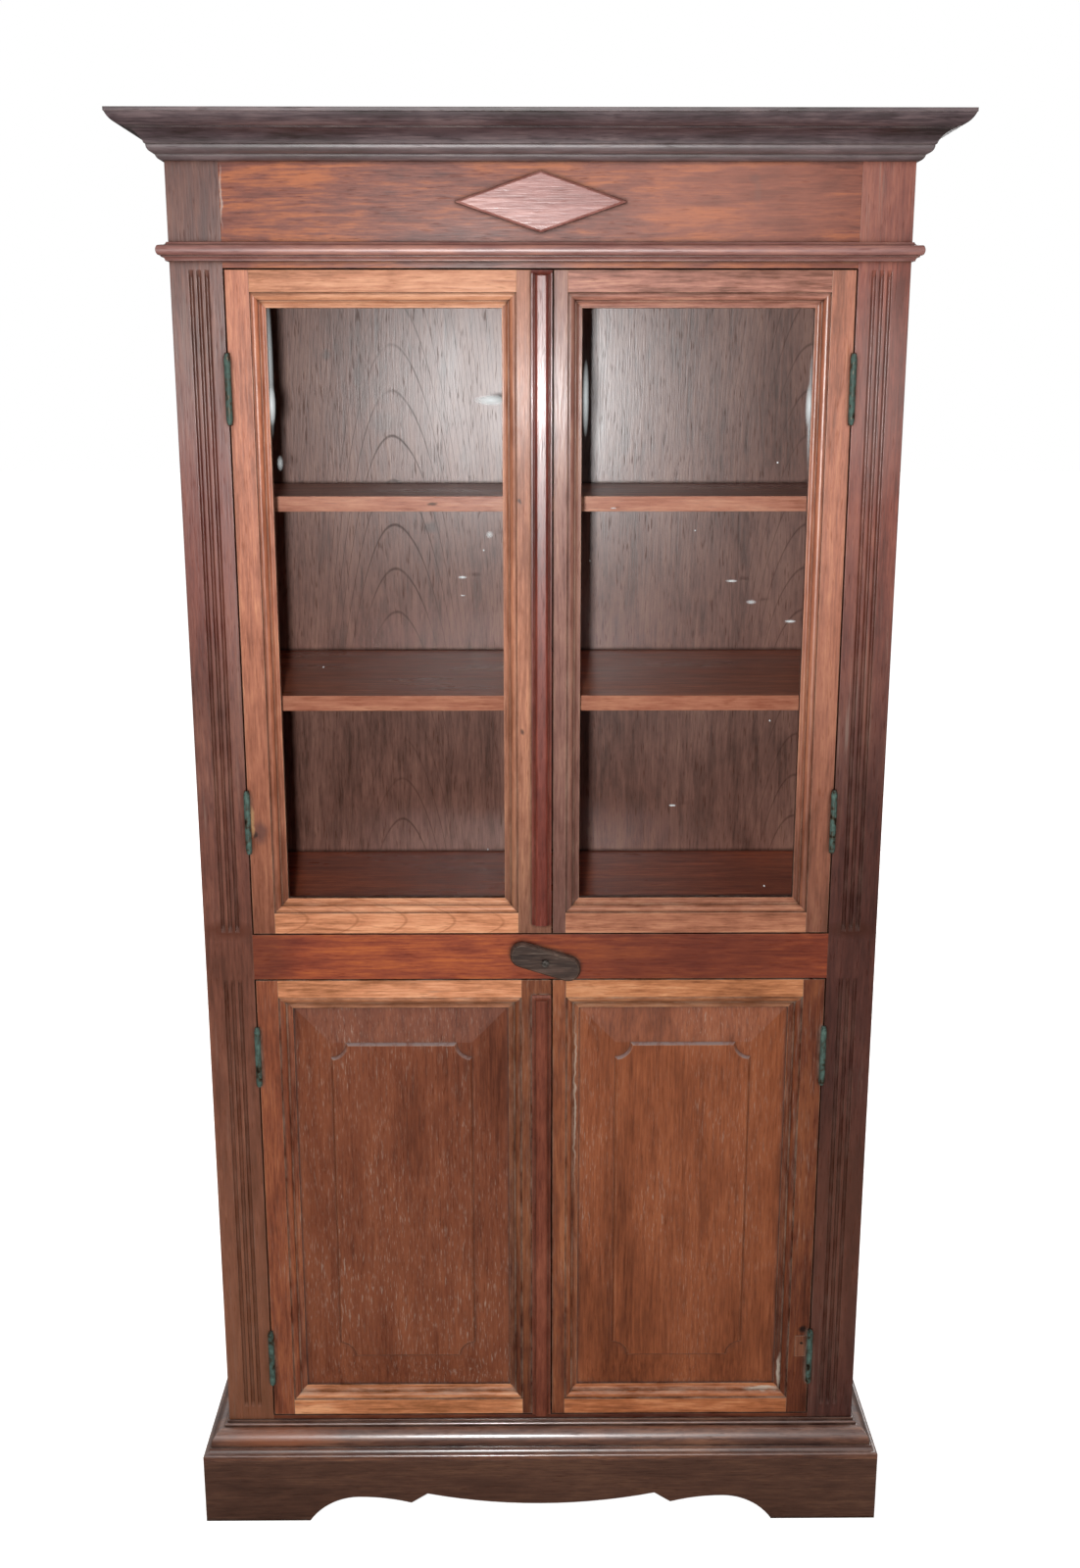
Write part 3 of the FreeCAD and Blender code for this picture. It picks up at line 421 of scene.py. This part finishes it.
# Pilasters, sides and top: dark reddish brown, with pale dust scratched into the flutes
pilasterTeak = {
    "tones": ("#51291f", "#713f31", "#8b5542"),
    "wornAndHighlightTone": "#a3806e",
    "scuff": 0.5,
    "scuffMm": 2.6,
    "scuffStretch": 0.02,
    "scuffTone": "#9a8072",
    "dust": 0.12,
    "grimeAndShade": 0.5,
    "grimeAndShadeMm": 9.0,
    "ledge": 0.0,
    "fade": 0.4,
    "fadeFrom": (1.0, 0.2),
    "fadeTone": "#a0643c",
    "shine": 1.0,
    "roughness": (0.31, 0.37),
    "coat": 0.05,
    "coatRoughness": 0.28,
    "marks": (
        {"at": (-418, 1816), "half": (90, 110), "depth": 0.3, "tone": "#3a2622"},
        # painted sheen: a pale grey patch high up on the pilaster
        {"at": (-442, 1600), "half": (30, 130), "depth": 0.22, "tone": "#a58a84"},
        {"at": (-418, 1420), "half": (80, 230), "depth": 0.25, "tone": "#a03f30"},
        {"at": (-418, 888), "half": (40, 16), "depth": 0.85, "tone": "#5e362a", "matt": True},
    ),
}
rightPilasterTeak = {
    **pilasterTeak,
    "tones": ("#6c3528", "#964f3f", "#b66a53"),
    "fade": 0.73,
    "fadeFrom": (1.6, 1.1),
    "fadeTone": "#24130f",
    "marks": (
        {"at": (418, 1816), "half": (90, 110), "depth": 0.2, "tone": "#3a2622"},
        # painted sheen: a pale grey patch high up on the pilaster
        {"at": (418, 1590), "half": (70, 150), "depth": 0.3, "tone": "#a58a84"},
        {"at": (418, 888), "half": (40, 16), "depth": 0.85, "tone": "#482a22", "matt": True},
        {"at": (418, 420), "half": (80, 260), "depth": 0.12, "tone": "#a0603c"},
    ),
}
sideTeak = {**varnished, "tones": ("#4d2a20", "#6a3f32", "#815343"), "wornAndHighlightTone": "#a3806e", "scuff": 0.2}
board("left_pilaster", pilasterTeak, "reddishTeak", "z")
board("right_pilaster", rightPilasterTeak, "reddishTeak", "z")
for node in ("left_side_panel", "right_side_panel"):
    board(node, sideTeak, "reddishTeak", "z")
board("top_board", sideTeak, "reddishTeak", "x")

# Frieze, lozenge, waist and the rails: red brown with orange streaks
friezeTeak = {
    **varnished,
    "shine": 0.4,
    "tones": ("#62332a", "#8b4d3c", "#bb6b40"),
    "streakMm": 17.0,
    "streakStretch": 0.13,
    "mottleMm": 70.0,
    "mottle": 1.6,
    "streak": 1.6,
    "swayMm": 18.0,
    "wornAndHighlightTone": "#b98c74",
    "marks": (
        {"at": (257, 1837), "half": (8, 7), "depth": 0.75, "tone": "#4a3432"},
        {"at": (261, 1822), "half": (7, 16), "depth": 0.5, "tone": "#5f4640"},
        {"at": (211, 1815), "half": (10, 3), "depth": 0.6, "tone": "#55302c"},
        {"at": (-384, 1816), "half": (2, 40), "depth": 0.6, "tone": "#c9b7ad"},
        # painted sheen: a pale pink patch over the right half of the frieze
        {"at": (235, 1815), "half": (210, 90), "depth": 0.35, "tone": "#c0806c"},
    ),
}
lozengeTeak = {
    **varnished, "tones": ("#8d5249", "#ae726a", "#ce9288"), "shine": 0.5, "coat": 1.0, "coatRoughness": 0.22,
    "bumpMm": 0.45,
}
waistTeak = {
    **varnished,
    "tones": ("#7b4840", "#9b645b", "#ba7b68"),
    "wornAndHighlightTone": "#b98a6c",
    "grimeAndShade": 0.9,
    "ledge": 0.25,
    "shine": 1.0,
    "coat": 0.5,
    "coatRoughness": 0.34,
}
middleRailTeak = {
    "tones": ("#6d2c1e", "#914329", "#b45d30"),
    "streakMm": 11.0,
    "wornAndHighlightTone": "#c08560",
    "marks": (
        {"at": (205, 850), "half": (260, 90), "depth": 0.5, "tone": "#552518"},
        {"at": (-380, 850), "half": (60, 80), "depth": 0.5, "tone": "#552a1e"},
    ),
}
bottomRailTeak = {"tones": ("#451c12", "#5f2a18", "#7d3d1e"), "wornAndHighlightTone": "#a06c4c"}
board("frieze_rail", friezeTeak, "redTeak", "x")
board("frieze_lozenge", lozengeTeak, "redTeak", "x")
board("waist_moulding", waistTeak, "redTeak", "x")
board("middle_rail", middleRailTeak, "redTeak", "x")
board("bottom_rail", bottomRailTeak, "redTeak", "x")

# Doors: the rails are paler and more orange than the stiles, the lower doors are darker and scuffed, and the
# moulded edge under their top rails is painted dark, as painted shade
doorLooks = {
    "upper_left": {
        "hinge_stile": {
            "tones": ("#965438", "#c47859", "#e39870"),
            "fade": 0.52,
            "fadeFrom": (1.48, 0.9),
            "shine": 0.5,
            "roughness": (0.34, 0.40),
            "marks": (
                {"at": (-369, 1024), "half": (11, 20), "depth": 0.75, "tone": "#5c3b35"},
                {"at": (-376, 1020), "half": (5, 6), "depth": 0.85, "tone": "#2f1c1a"},
                {"at": (-381, 1040), "half": (6, 24), "depth": 0.95, "tone": "#e6b27e"},
            ),
        },
        "lock_stile": {
            "tones": ("#8f563c", "#ba7a5d", "#db9974"),
            "fade": 0.6,
            "fadeFrom": (1.25, 0.88),
            "coat": 0.1,
            "marks": (
                {"at": (-26, 1455), "half": (3, 4), "depth": 0.8, "tone": "#40261e"},
                {"at": (-23, 1159), "half": (3, 4), "depth": 0.8, "tone": "#40261e"},
            ),
        },
        "top_rail": {"tones": ("#915a3a", "#c98663", "#e7a782")},
        "bottom_rail": {
            "tones": ("#925a38", "#cd865f", "#eba87e"),
            "archMm": 66.0,
            "archCurve": 80.0,
            "apexMm": 10.0,
            "heartMm": 4.0,
            "arch": 0.35,
            "archTone": "#7c4527",
            "swayMm": 24.0,
        },
    },
    "upper_right": {
        "hinge_stile": {
            "tones": ("#8e5034", "#b86e50", "#d38a65"),
            "fade": 0.55,
            "fadeFrom": (1.42, 0.9),
            "shine": 1.0,
            "roughness": (0.34, 0.40),
        },
        "lock_stile": {
            "tones": ("#6d4135", "#916153", "#aa7b68"),
            "fade": 0.45,
            "fadeFrom": (1.42, 0.9),
            "coat": 0.32,
        },
        "top_rail": {"tones": ("#7c4d3c", "#b57967", "#dca387")},
        "bottom_rail": {"tones": ("#71412b", "#a4674c", "#c58866")},
    },
    "lower_left": {
        "hinge_stile": {"tones": ("#60301f", "#86472e", "#a4603d")},
        "lock_stile": {"tones": ("#52281a", "#754026", "#8f5637")},
        "top_rail": {
            "tones": ("#965c39", "#d38b62", "#f2b188"),
            # painted shade: a dark band over the moulded edge under the rail
            "marks": ({"at": (-205, 781), "half": (900, 12), "depth": 0.55, "tone": "#5a3222"},),
        },
        "bottom_rail": {"tones": ("#8e5530", "#cb8054", "#eeab7c")},
    },
    "lower_right": {
        "hinge_stile": {
            "tones": ("#4b2314", "#69341f", "#854a2b"),
            "marks": (
                {"at": (375, 286), "half": (8, 7), "depth": 0.9, "tone": "#1c110d"},
                {"at": (344, 212), "half": (3, 34), "depth": 0.8, "tone": "#d3c6b6"},
            ),
        },
        "lock_stile": {
            "tones": ("#613120", "#864a2d", "#a0613e"),
            "marks": ({"at": (47, 640), "half": (2, 150), "depth": 0.6, "tone": "#cbb8a6"},),
        },
        "top_rail": {
            "tones": ("#844d2d", "#bc784e", "#db9c70"),
            # painted shade: a dark band over the moulded edge under the rail
            "marks": ({"at": (205, 781), "half": (900, 12), "depth": 0.55, "tone": "#5a3222"},),
        },
        "bottom_rail": {
            "tones": ("#814727", "#b86d43", "#dc9566"),
            "marks": ({"at": (318, 186), "half": (32, 3), "depth": 0.8, "tone": "#d3c6b6"},),
        },
    },
}
# pale on the proud ridges of the stickings: wear, and painted highlight
upperDoorTeak = {"wornAndHighlightTone": "#dcb595", "wearAndHighlight": 0.6, "ledge": 0.15}
lowerDoorTeak = {
    "wornAndHighlightTone": "#c9a88c", "wearAndHighlight": 0.65, "dust": 0.4, "ledge": 0.45, "scuff": 0.3, "dustTone": "#bfae9f",
}
panelTeak = {
    "tones": ("#542817", "#773e26", "#8f5134"),
    "wornAndHighlightTone": "#b08a70",
    "wearAndHighlight": 0.9,
    "wearMm": 1.8,
    "dust": 0.3,
    "grimeAndShade": 0.9,
    "grimeAndShadeMm": 11.0,
    "grimeAndShadeFrom": (0.90, 0.42),
    # the faces that look even a little up, the top bevel most, go greyer: dust, and painted sheen from above
    "ledge": 0.95,
    "ledgeFrom": (0.06, 0.70),
    "dustTone": "#8a7672",
    "dustFrom": (0.28, 0.52),
    "scuff": 0.5,
    "scuffMm": 1.7,
    "scuffStretch": 0.11,
    "streakMm": 26.0,
    "streak": 0.9,
    "speck": 0.5,
    "fibre": 1.1,
}
rightPanelTeak = {**panelTeak, "tones": ("#62311b", "#8b4b2c", "#a6613d")}
astragalTeak = {
    **varnished,
    "tones": ("#522019", "#733226", "#8d4638"),
    "wornAndHighlightTone": "#a67a66",
    "roughness": (0.30, 0.36),
    "coat": 0.25,
    "coatRoughness": 0.15,
    "bumpMm": 0.5,
    "ledge": 0.0,
}
lowerAstragalTeak = {
    **astragalTeak,
    "tones": ("#55281b", "#773c2a", "#90513b"),
    "coat": 0.0,
    "shine": 0.25,
    "roughness": (0.5, 0.6),
}
for place, looks in doorLooks.items():
    upper = place.startswith("upper")
    common = upperDoorTeak if upper else lowerDoorTeak
    for name, look in looks.items():
        board(place + "_" + name, {**common, **look}, "doorTeak", "z" if name.endswith("stile") else "x")
    if upper:
        board(place + "_glazing_beads", {**common, **looks["lock_stile"]}, "doorTeak", "z")
    else:
        board(place + "_panel", panelTeak if place.endswith("left") else rightPanelTeak, "scuffedTeak", "z")
board("upper_left_astragal", astragalTeak, "maroonTeak", "z")
board("lower_left_astragal", lowerAstragalTeak, "maroonTeak", "z")

# Inside: grey-brown back boards that shine softly, and shelves whose front edge and top are toned apart as
# painted light
backTeak = {
    "tones": ("#593a2f", "#835a4d", "#9c7160"),
    "streak": 1.0,
    "fibre": 1.2,
    "fibreMm": 3.2,
    "pore": 0.6,
    "poreMm": 2.2,
    "bumpMm": 0.25,
    "shine": 0.4,
    "roughness": (0.28, 0.33),
    "coat": 0.18,
    "coatRoughness": 0.3,
    "archMm": 66.0,
    "archCurve": 38.0,
    "apexMm": 597.0,
    "arch": 0.55,
    "archTone": "#1e1310",
    "swayMm": 16.0,
    "dust": 0.05,
    "wearAndHighlight": 0.0,
    "ledge": 0.0,
}
backLeftTeak = {
    **backTeak,
    "heartMm": 0.0,
    "marks": (
        {"at": (-165, 1387), "half": (13, 11), "depth": 0.6, "tone": "#3f2f2b"},
        {"at": (-315, 1641), "half": (9, 11), "depth": 0.6, "tone": "#453631"},
        {"at": (-231, 1543), "half": (28, 24), "depth": 0.4, "tone": "#4c3a35"},
    ),
}
backRightTeak = {**backTeak, "heartMm": 190.0, "arch": 0.4, "shine": 0.82, "coat": 0.25}
shelfTeak = {
    "tones": ("#834934", "#a86046", "#cc7a57"),
    "frontTones": ("#935641", "#af7159", "#c3886b"),
    "ledge": 0.0,
    "grimeAndShade": 0.5,
    "shine": 0.1,
    "roughness": (0.26, 0.34),
}
# painted light: the upper shelf's top is toned much paler than the same wood lower down, for its sheen at a
# grazing angle
upperShelfTeak = {
    **shelfTeak,
    "tones": ("#9c7067", "#c39083", "#eebaa7"),
    "frontTones": ("#a36651", "#c3846d", "#d89e83"),
    "marks": ({"at": (-143, 1443), "half": (9, 3), "depth": 0.8, "tone": "#4a3a2c"},),
}
deckTeak = {**shelfTeak, "tones": ("#803f2d", "#a5563b", "#cc704c")}
board("back_board_left", backLeftTeak, "plainTeak", "z")
board("back_board_right", backRightTeak, "plainTeak", "z")
board("upper_shelf", upperShelfTeak, "shelfTeak", "x")
board("middle_shelf", shelfTeak, "shelfTeak", "x")
for node in ("middle_deck", "bottom_deck"):
    board(node, deckTeak, "shelfTeak", "x")
# Turn button: a dark hardwood, dry and rubbed by hands
buttonWood = {
    "tones": ("#261c19", "#41312a", "#5b453c"),
    "coat": 0.0,
    "roughness": (0.5, 0.7),
    "wearAndHighlight": 0.7,
    "scuff": 0.4,
}
board("turn_button", buttonWood, "oldHardwood", "x")
print("boards dressed,", boardCount)

# Float glass: clear straight on, mirror-like at a slant, with a few pale specks and dashes of dirt on it, a
# painted highlight down the edge of each pane, a painted glint of the lamp and a few painted reflections
pane = {
    "tint": "#fcfcfc",
    "dirtAndGlint": "#e9eeef",
    "specks": {"sizeMm": 34.0, "flatten": (1, 0, 1), "radius": 0.035, "cleanShare": 0.72},
    "dashes": {"sizeMm": 46.0, "flatten": (0.5, 0, 2.6), "radius": 0.055, "cleanShare": 0.88},
    "smearsAndGlints": (
        # painted highlight: the lamp's glint in the left pane, drawn as a pale oval
        {"at": (-62, 1578), "half": (22, 7), "depth": 0.85},
        # painted highlights down the edges of the panes
        {"at": (-335, 1573), "half": (5, 28), "depth": 1.0},
        {"at": (-335, 1620), "half": (4, 90), "depth": 0.35},
        {"at": (335, 1571), "half": (5, 30), "depth": 0.95},
        {"at": (336, 1565), "half": (3, 75), "depth": 0.45},
        {"at": (56, 1580), "half": (4, 48), "depth": 0.5},
        # dirt on the glass
        {"at": (-327, 1501), "half": (4, 10), "depth": 0.35},
        # painted reflections of the room: three pale dashes on the right pane
        {"at": (244, 1353), "half": (8, 1.8), "depth": 0.7},
        {"at": (270, 1326), "half": (7, 3), "depth": 0.45},
        {"at": (321, 1301), "half": (8, 2), "depth": 0.75},
        # dirt on the glass
        {"at": (-65, 1412), "half": (5, 5), "depth": 0.45},
        {"at": (-100, 1358), "half": (6, 2), "depth": 0.75},
    ),
}


def windowGlass():
    material, tree = newMaterial("floatGlass")
    through = add(tree, "ShaderNodeBsdfTransparent", Color=linear(pane["tint"]))
    mirror = add(tree, "ShaderNodeBsdfGlossy", Color=linear("#ffffff"), Roughness=0.0)
    slant = add(tree, "ShaderNodeLayerWeight", out="Facing", Blend=0.5)
    share = add(tree, "ShaderNodeMath", {"operation": "POWER"}, _0=slant, _1=5.0)
    clear = add(tree, "ShaderNodeMixShader", Fac=share, _1=through, _2=mirror)
    seat = add(tree, "ShaderNodeTexCoord", out="Object")
    dirtAndGlint = 0.0
    for spots in (pane["specks"], pane["dashes"]):
        drawn = add(tree, "ShaderNodeMapping", Vector=seat, Scale=spots["flatten"])
        cell = add(
            tree, "ShaderNodeTexVoronoi", None, "Distance", Vector=drawn, Scale=perMetre(spots["sizeMm"])
        )
        pick = add(tree, "ShaderNodeSeparateColor", Color=cell.node.outputs["Color"])
        near = add(
            tree, "ShaderNodeMapRange", Value=cell,
            From_Min=spots["radius"], From_Max=spots["radius"] * 0.5, To_Max=0.7,
        )
        kept = add(tree, "ShaderNodeMath", {"operation": "GREATER_THAN"}, _0=pick, _1=spots["cleanShare"])
        spot = add(tree, "ShaderNodeMath", {"operation": "MULTIPLY"}, _0=near, _1=kept)
        dirtAndGlint = add(tree, "ShaderNodeMath", {"operation": "MAXIMUM"}, _0=spot, _1=dirtAndGlint)
    # pale ovals on the pane: dirt, and painted highlights and reflections
    for paneMark in pane["smearsAndGlints"]:
        reach = ovalReach(tree, seat, paneMark)
        spot = add(tree, "ShaderNodeMapRange", Value=reach, From_Min=1.0, From_Max=0.0, To_Max=paneMark["depth"])
        dirtAndGlint = add(tree, "ShaderNodeMath", {"operation": "MAXIMUM"}, _0=spot, _1=dirtAndGlint)
    paleDirtAndGlint = add(tree, "ShaderNodeBsdfDiffuse", Color=linear(pane["dirtAndGlint"]))
    withDirtAndGlint = add(tree, "ShaderNodeMixShader", Fac=dirtAndGlint, _1=clear, _2=paleDirtAndGlint)
    add(tree, "ShaderNodeOutputMaterial", Surface=withDirtAndGlint)
    return material


glass = windowGlass()
for node in ("upper_left_glass", "upper_right_glass"):
    dress(node, glass)

# Cast brass, aged: dull dark metal under green-grey verdigris that has worn off in places
agedBrass = {
    "stops": ((0.28, "#211f1b"), (0.40, "#4e4738"), (0.48, "#3d5149"), (0.70, "#5b756b")),
    "patchMm": 10.0,
    "gritMm": 1.2,
    "gritDepthMm": 0.3,
}


def verdigrisBrass():
    material, tree = newMaterial("agedBrass")
    seat = add(tree, "ShaderNodeTexCoord", out="Object")
    patch = add(
        tree, "ShaderNodeTexNoise", None, "Fac",
        Vector=seat, Scale=perMetre(agedBrass["patchMm"]), Detail=5.0, Roughness=0.65,
    )
    grit = add(
        tree, "ShaderNodeTexNoise", None, "Fac", Vector=seat, Scale=perMetre(agedBrass["gritMm"]), Detail=3.0
    )
    colour = add(tree, "ShaderNodeValToRGB", {"stops": agedBrass["stops"]}, "Color", Fac=patch)
    bare = add(tree, "ShaderNodeMapRange", Value=patch, From_Min=0.46, From_Max=0.38, To_Max=0.8)
    rough = add(tree, "ShaderNodeMapRange", Value=patch, From_Min=0.4, From_Max=0.6, To_Min=0.42, To_Max=0.85)
    bump = add(tree, "ShaderNodeBump", Height=grit, Strength=0.4, Distance=agedBrass["gritDepthMm"] * mm)
    shader = add(
        tree, "ShaderNodeBsdfPrincipled", Base_Color=colour, Metallic=bare, Roughness=rough, Normal=bump
    )
    add(tree, "ShaderNodeOutputMaterial", Surface=shader)
    return material


brass = verdigrisBrass()
for node in ["frame_hinge_leaves", "hinge_pins"] + [place + "_hinge_leaves" for place in doorLooks]:
    dress(node, brass)

# Mild steel, browned with age
oldSteel = {"stops": ((0.35, "#3a332e"), (0.65, "#77706a")), "patchMm": 2.5}


def brownedSteel():
    material, tree = newMaterial("brownedSteel")
    seat = add(tree, "ShaderNodeTexCoord", out="Object")
    patch = add(
        tree, "ShaderNodeTexNoise", None, "Fac", Vector=seat, Scale=perMetre(oldSteel["patchMm"]), Detail=4.0
    )
    colour = add(tree, "ShaderNodeValToRGB", {"stops": oldSteel["stops"]}, "Color", Fac=patch)
    rough = add(tree, "ShaderNodeMapRange", Value=patch, To_Min=0.35, To_Max=0.6)
    shader = add(tree, "ShaderNodeBsdfPrincipled", Base_Color=colour, Metallic=0.9, Roughness=rough)
    add(tree, "ShaderNodeOutputMaterial", Surface=shader)
    return material


steel = brownedSteel()
for node in ("turn_button_screw", "turn_button_washer"):
    dress(node, steel)
print("glass and metal dressed")

# Slotted countersunk screws, three to a hinge leaf, all but flush
screw = {
    "radius": 3.4, "proud": 0.3, "slot": 0.9, "rises": (-26.0, 0.0, 26.0), "middleY": -178.0, "stagger": 3.0,
    "arcSteps": 10, "turnStep": 0.7, "frameFace": 386.0, "doorFace": 384.0, "hingeHalf": 38.0,
}


def newPiece(name, bm, body, material):
    bmesh.ops.recalc_face_normals(bm, faces=bm.faces)
    mesh = bpy.data.meshes.new(name)
    bm.to_mesh(mesh)
    bm.free()
    mesh.materials.append(material)
    piece = bpy.data.objects.new(name, mesh)
    bpy.context.scene.collection.objects.link(piece)
    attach(piece, body)


def screwHeads(bm, x, way, level):
    # each head is two halves of a disc with the slot between them, turned any way
    gap = math.asin(screw["slot"] / 2 / screw["radius"])
    sweep = math.pi - 2 * gap
    for count, rise in enumerate(screw["rises"]):
        y = screw["middleY"] + screw["stagger"] * (-1) ** count
        turn = screw["turnStep"] * count + level
        for half in (turn, turn + math.pi):
            angles = [half + gap + sweep * step / screw["arcSteps"] for step in range(screw["arcSteps"] + 1)]
            middle = Vector((x, y, level + rise))
            rim = [(middle + Vector((0, math.cos(a), math.sin(a))) * screw["radius"]) * mm for a in angles]
            flat = bm.faces.new([bm.verts.new(corner) for corner in rim])
            raised = bmesh.ops.extrude_face_region(bm, geom=[flat])["geom"]
            corners = [part for part in raised if isinstance(part, bmesh.types.BMVert)]
            bmesh.ops.translate(bm, verts=corners, vec=(way * screw["proud"] * mm, 0, 0))


frameScrews = bmesh.new()
for place in doorLooks:
    low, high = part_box(place + "_hinge_leaves")
    way = 1 if place.endswith("left") else -1
    doorScrews = bmesh.new()
    for level in (low.z / mm + screw["hingeHalf"], high.z / mm - screw["hingeHalf"]):
        screwHeads(frameScrews, -way * screw["frameFace"], way, level)
        screwHeads(doorScrews, -way * screw["doorFace"], -way, level)
    newPiece(place + "_hinge_screws", doorScrews, place + "_door", brass)
newPiece("frame_hinge_screws", frameScrews, "carcass", brass)

# Repair on the hinge stile of the lower right door: a let-in piece of wood with a nail hole
repair = {"x": (364.0, 380.0), "z": (243.0, 276.0), "proud": 0.5, "edge": 0.3, "seed": 60}
repairTeak = {
    **lowerDoorTeak,
    "tones": ("#5e3323", "#7d4a33", "#946045"),
    "marks": ({"at": (372, 266), "half": (2.5, 3), "depth": 1.0, "tone": "#140c09"},),
}


def repairPatch():
    (left, right), (low, high) = repair["x"], repair["z"]
    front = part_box("lower_right_hinge_stile")[0].y / mm
    size = Vector((right - left, repair["proud"], high - low)) * mm
    middle = Vector(((left + right) / 2, front - repair["proud"] / 2, (low + high) / 2)) * mm
    bm = bmesh.new()
    bmesh.ops.create_cube(bm, size=1.0, matrix=Matrix.Translation(middle) @ Matrix.Diagonal(size.to_4d()))
    faceEdges = [edge for edge in bm.edges if all(corner.co.y < middle.y for corner in edge.verts)]
    bmesh.ops.bevel(
        bm, geom=faceEdges, offset=repair["edge"] * mm, affect="EDGES", segments=2, profile=0.5, material=-1
    )
    material = teak("repairTeak", repairTeak, "z", middle, repair["seed"])
    newPiece("hinge_stile_repair", bm, "lower_right_door", material)


repairPatch()
print("screws and repair added")

# Floor, light and camera. The lamp is beside the lens, as a flash is, and the room in front of the cupboard
# is bright above the lens and dim below it, so the varnish shines high up and is deep brown low down.
studio = {
    "floorHalf": 30.0,
    "floorTone": "#dad8d4",
    "floorInShine": "#5a5856",
    "floorLift": (0.80, 1.0),
    "liftReach": (0.7, 3.0),
    "ambient": 0.18,
    "roomLow": 0.03,
    "roomHigh": 0.5,
    "horizon": (-0.02, 0.22),
    "cameraPlace": (-0.0161, -2.2372, 1.5915),
    "cameraPitch": 13.777,
    "cameraYaw": 0.42,
    "cameraLens": 36.982,
}
lampPlan = {
    "key": {"place": (-0.115, -2.2372, 1.570), "aim": (0, -0.19, 1.0), "size": (0.066, 0.024), "power": 36.0},
    "backFill": {"place": (0.6, 3.6, 2.4), "aim": (0, 0, 0.95), "size": (2.5, 2.5), "power": 60.0},
    "leftFill": {"place": (-3.6, 1.2, 2.2), "aim": (0, 0.2, 0.95), "size": (2.0, 2.0), "power": 45.0},
    "rightFill": {"place": (3.6, 1.2, 2.2), "aim": (0, 0.2, 0.95), "size": (2.0, 2.0), "power": 45.0},
    "topFill": {"place": (0, 0.6, 4.2), "aim": (0, 0, 0), "size": (2.0, 2.0), "power": 30.0},
}


def paleFloor():
    bm = bmesh.new()
    bmesh.ops.create_grid(bm, x_segments=1, y_segments=1, size=studio["floorHalf"])
    mesh = bpy.data.meshes.new("studioFloor")
    bm.to_mesh(mesh)
    bm.free()
    floor = bpy.data.objects.new("studioFloor", mesh)
    bpy.context.scene.collection.objects.link(floor)
    material, tree = newMaterial("paleFloor")
    path = add(tree, "ShaderNodeLightPath", out="Is Camera Ray")
    seen = add(
        tree, "ShaderNodeMath", {"operation": "MAXIMUM"}, _0=path, _1=path.node.outputs["Is Transmission Ray"]
    )
    # the lift grows to full white away from the cupboard, so that its shadow stays
    seat = add(tree, "ShaderNodeTexCoord", out="Object")
    away = add(tree, "ShaderNodeVectorMath", {"operation": "LENGTH"}, "Value", _0=seat)
    (near, far), (least, most) = studio["liftReach"], studio["floorLift"]
    lift = add(tree, "ShaderNodeMapRange", Value=away, From_Min=near, From_Max=far, To_Min=least, To_Max=most)
    lift = add(tree, "ShaderNodeMath", {"operation": "MULTIPLY"}, _0=seen, _1=lift)
    tone = add(
        tree, "ShaderNodeMix", {"data_type": "RGBA"}, 2, Factor=path.node.outputs["Is Glossy Ray"],
        _6=linear(studio["floorTone"]), _7=linear(studio["floorInShine"]),
    )
    matt = add(tree, "ShaderNodeBsdfDiffuse", Color=tone)
    glow = add(tree, "ShaderNodeEmission", Color=linear("#ffffff"), Strength=lift)
    both = add(tree, "ShaderNodeAddShader", _0=matt, _1=glow)
    add(tree, "ShaderNodeOutputMaterial", Surface=both)
    mesh.materials.append(material)


def paleRoom():
    world = bpy.data.worlds.new("paleRoom")
    bpy.context.scene.world = world
    world.use_nodes = True
    tree = world.node_tree
    tree.nodes.clear()
    path = add(tree, "ShaderNodeLightPath", out="Is Camera Ray")
    way = add(tree, "ShaderNodeTexCoord", out="Generated")
    up = add(tree, "ShaderNodeSeparateXYZ", out="Z", Vector=way)
    below, above = studio["horizon"]
    room = add(
        tree, "ShaderNodeMapRange", Value=up, From_Min=below, From_Max=above,
        To_Min=studio["roomLow"], To_Max=studio["roomHigh"],
    )
    mirrored = add(
        tree, "ShaderNodeMath", {"operation": "MAXIMUM"},
        _0=path.node.outputs["Is Glossy Ray"], _1=path.node.outputs["Is Transmission Ray"],
    )
    strength = add(tree, "ShaderNodeMapRange", Value=mirrored, To_Min=studio["ambient"], To_Max=room)
    strength = add(tree, "ShaderNodeMapRange", Value=path, To_Min=strength, To_Max=1.0)
    sky = add(tree, "ShaderNodeBackground", Color=linear("#ffffff"), Strength=strength)
    add(tree, "ShaderNodeOutputWorld", Surface=sky)


def lamps():
    for name, plan in lampPlan.items():
        lamp = bpy.data.lights.new(name, "AREA")
        lamp.shape = "RECTANGLE"
        lamp.size, lamp.size_y = plan["size"]
        lamp.energy = plan["power"]
        lampObject = bpy.data.objects.new(name, lamp)
        lampObject.location = plan["place"]
        sight = Vector(plan["aim"]) - Vector(plan["place"])
        lampObject.rotation_euler = sight.to_track_quat("-Z", "Y").to_euler()
        bpy.context.scene.collection.objects.link(lampObject)


def photoCamera():
    camera = bpy.data.cameras.new("photoCamera")
    camera.sensor_width = 36.0
    camera.lens = studio["cameraLens"]
    camera.clip_end = 100
    cameraObject = bpy.data.objects.new("photoCamera", camera)
    cameraObject.location = studio["cameraPlace"]
    cameraObject.rotation_euler = (
        math.radians(90 - studio["cameraPitch"]), 0, math.radians(-studio["cameraYaw"])
    )
    bpy.context.scene.collection.objects.link(cameraObject)
    bpy.context.scene.camera = cameraObject


paleFloor()
paleRoom()
lamps()
photoCamera()
bpy.context.scene.view_settings.view_transform = "Standard"
print("floor, light and camera set")
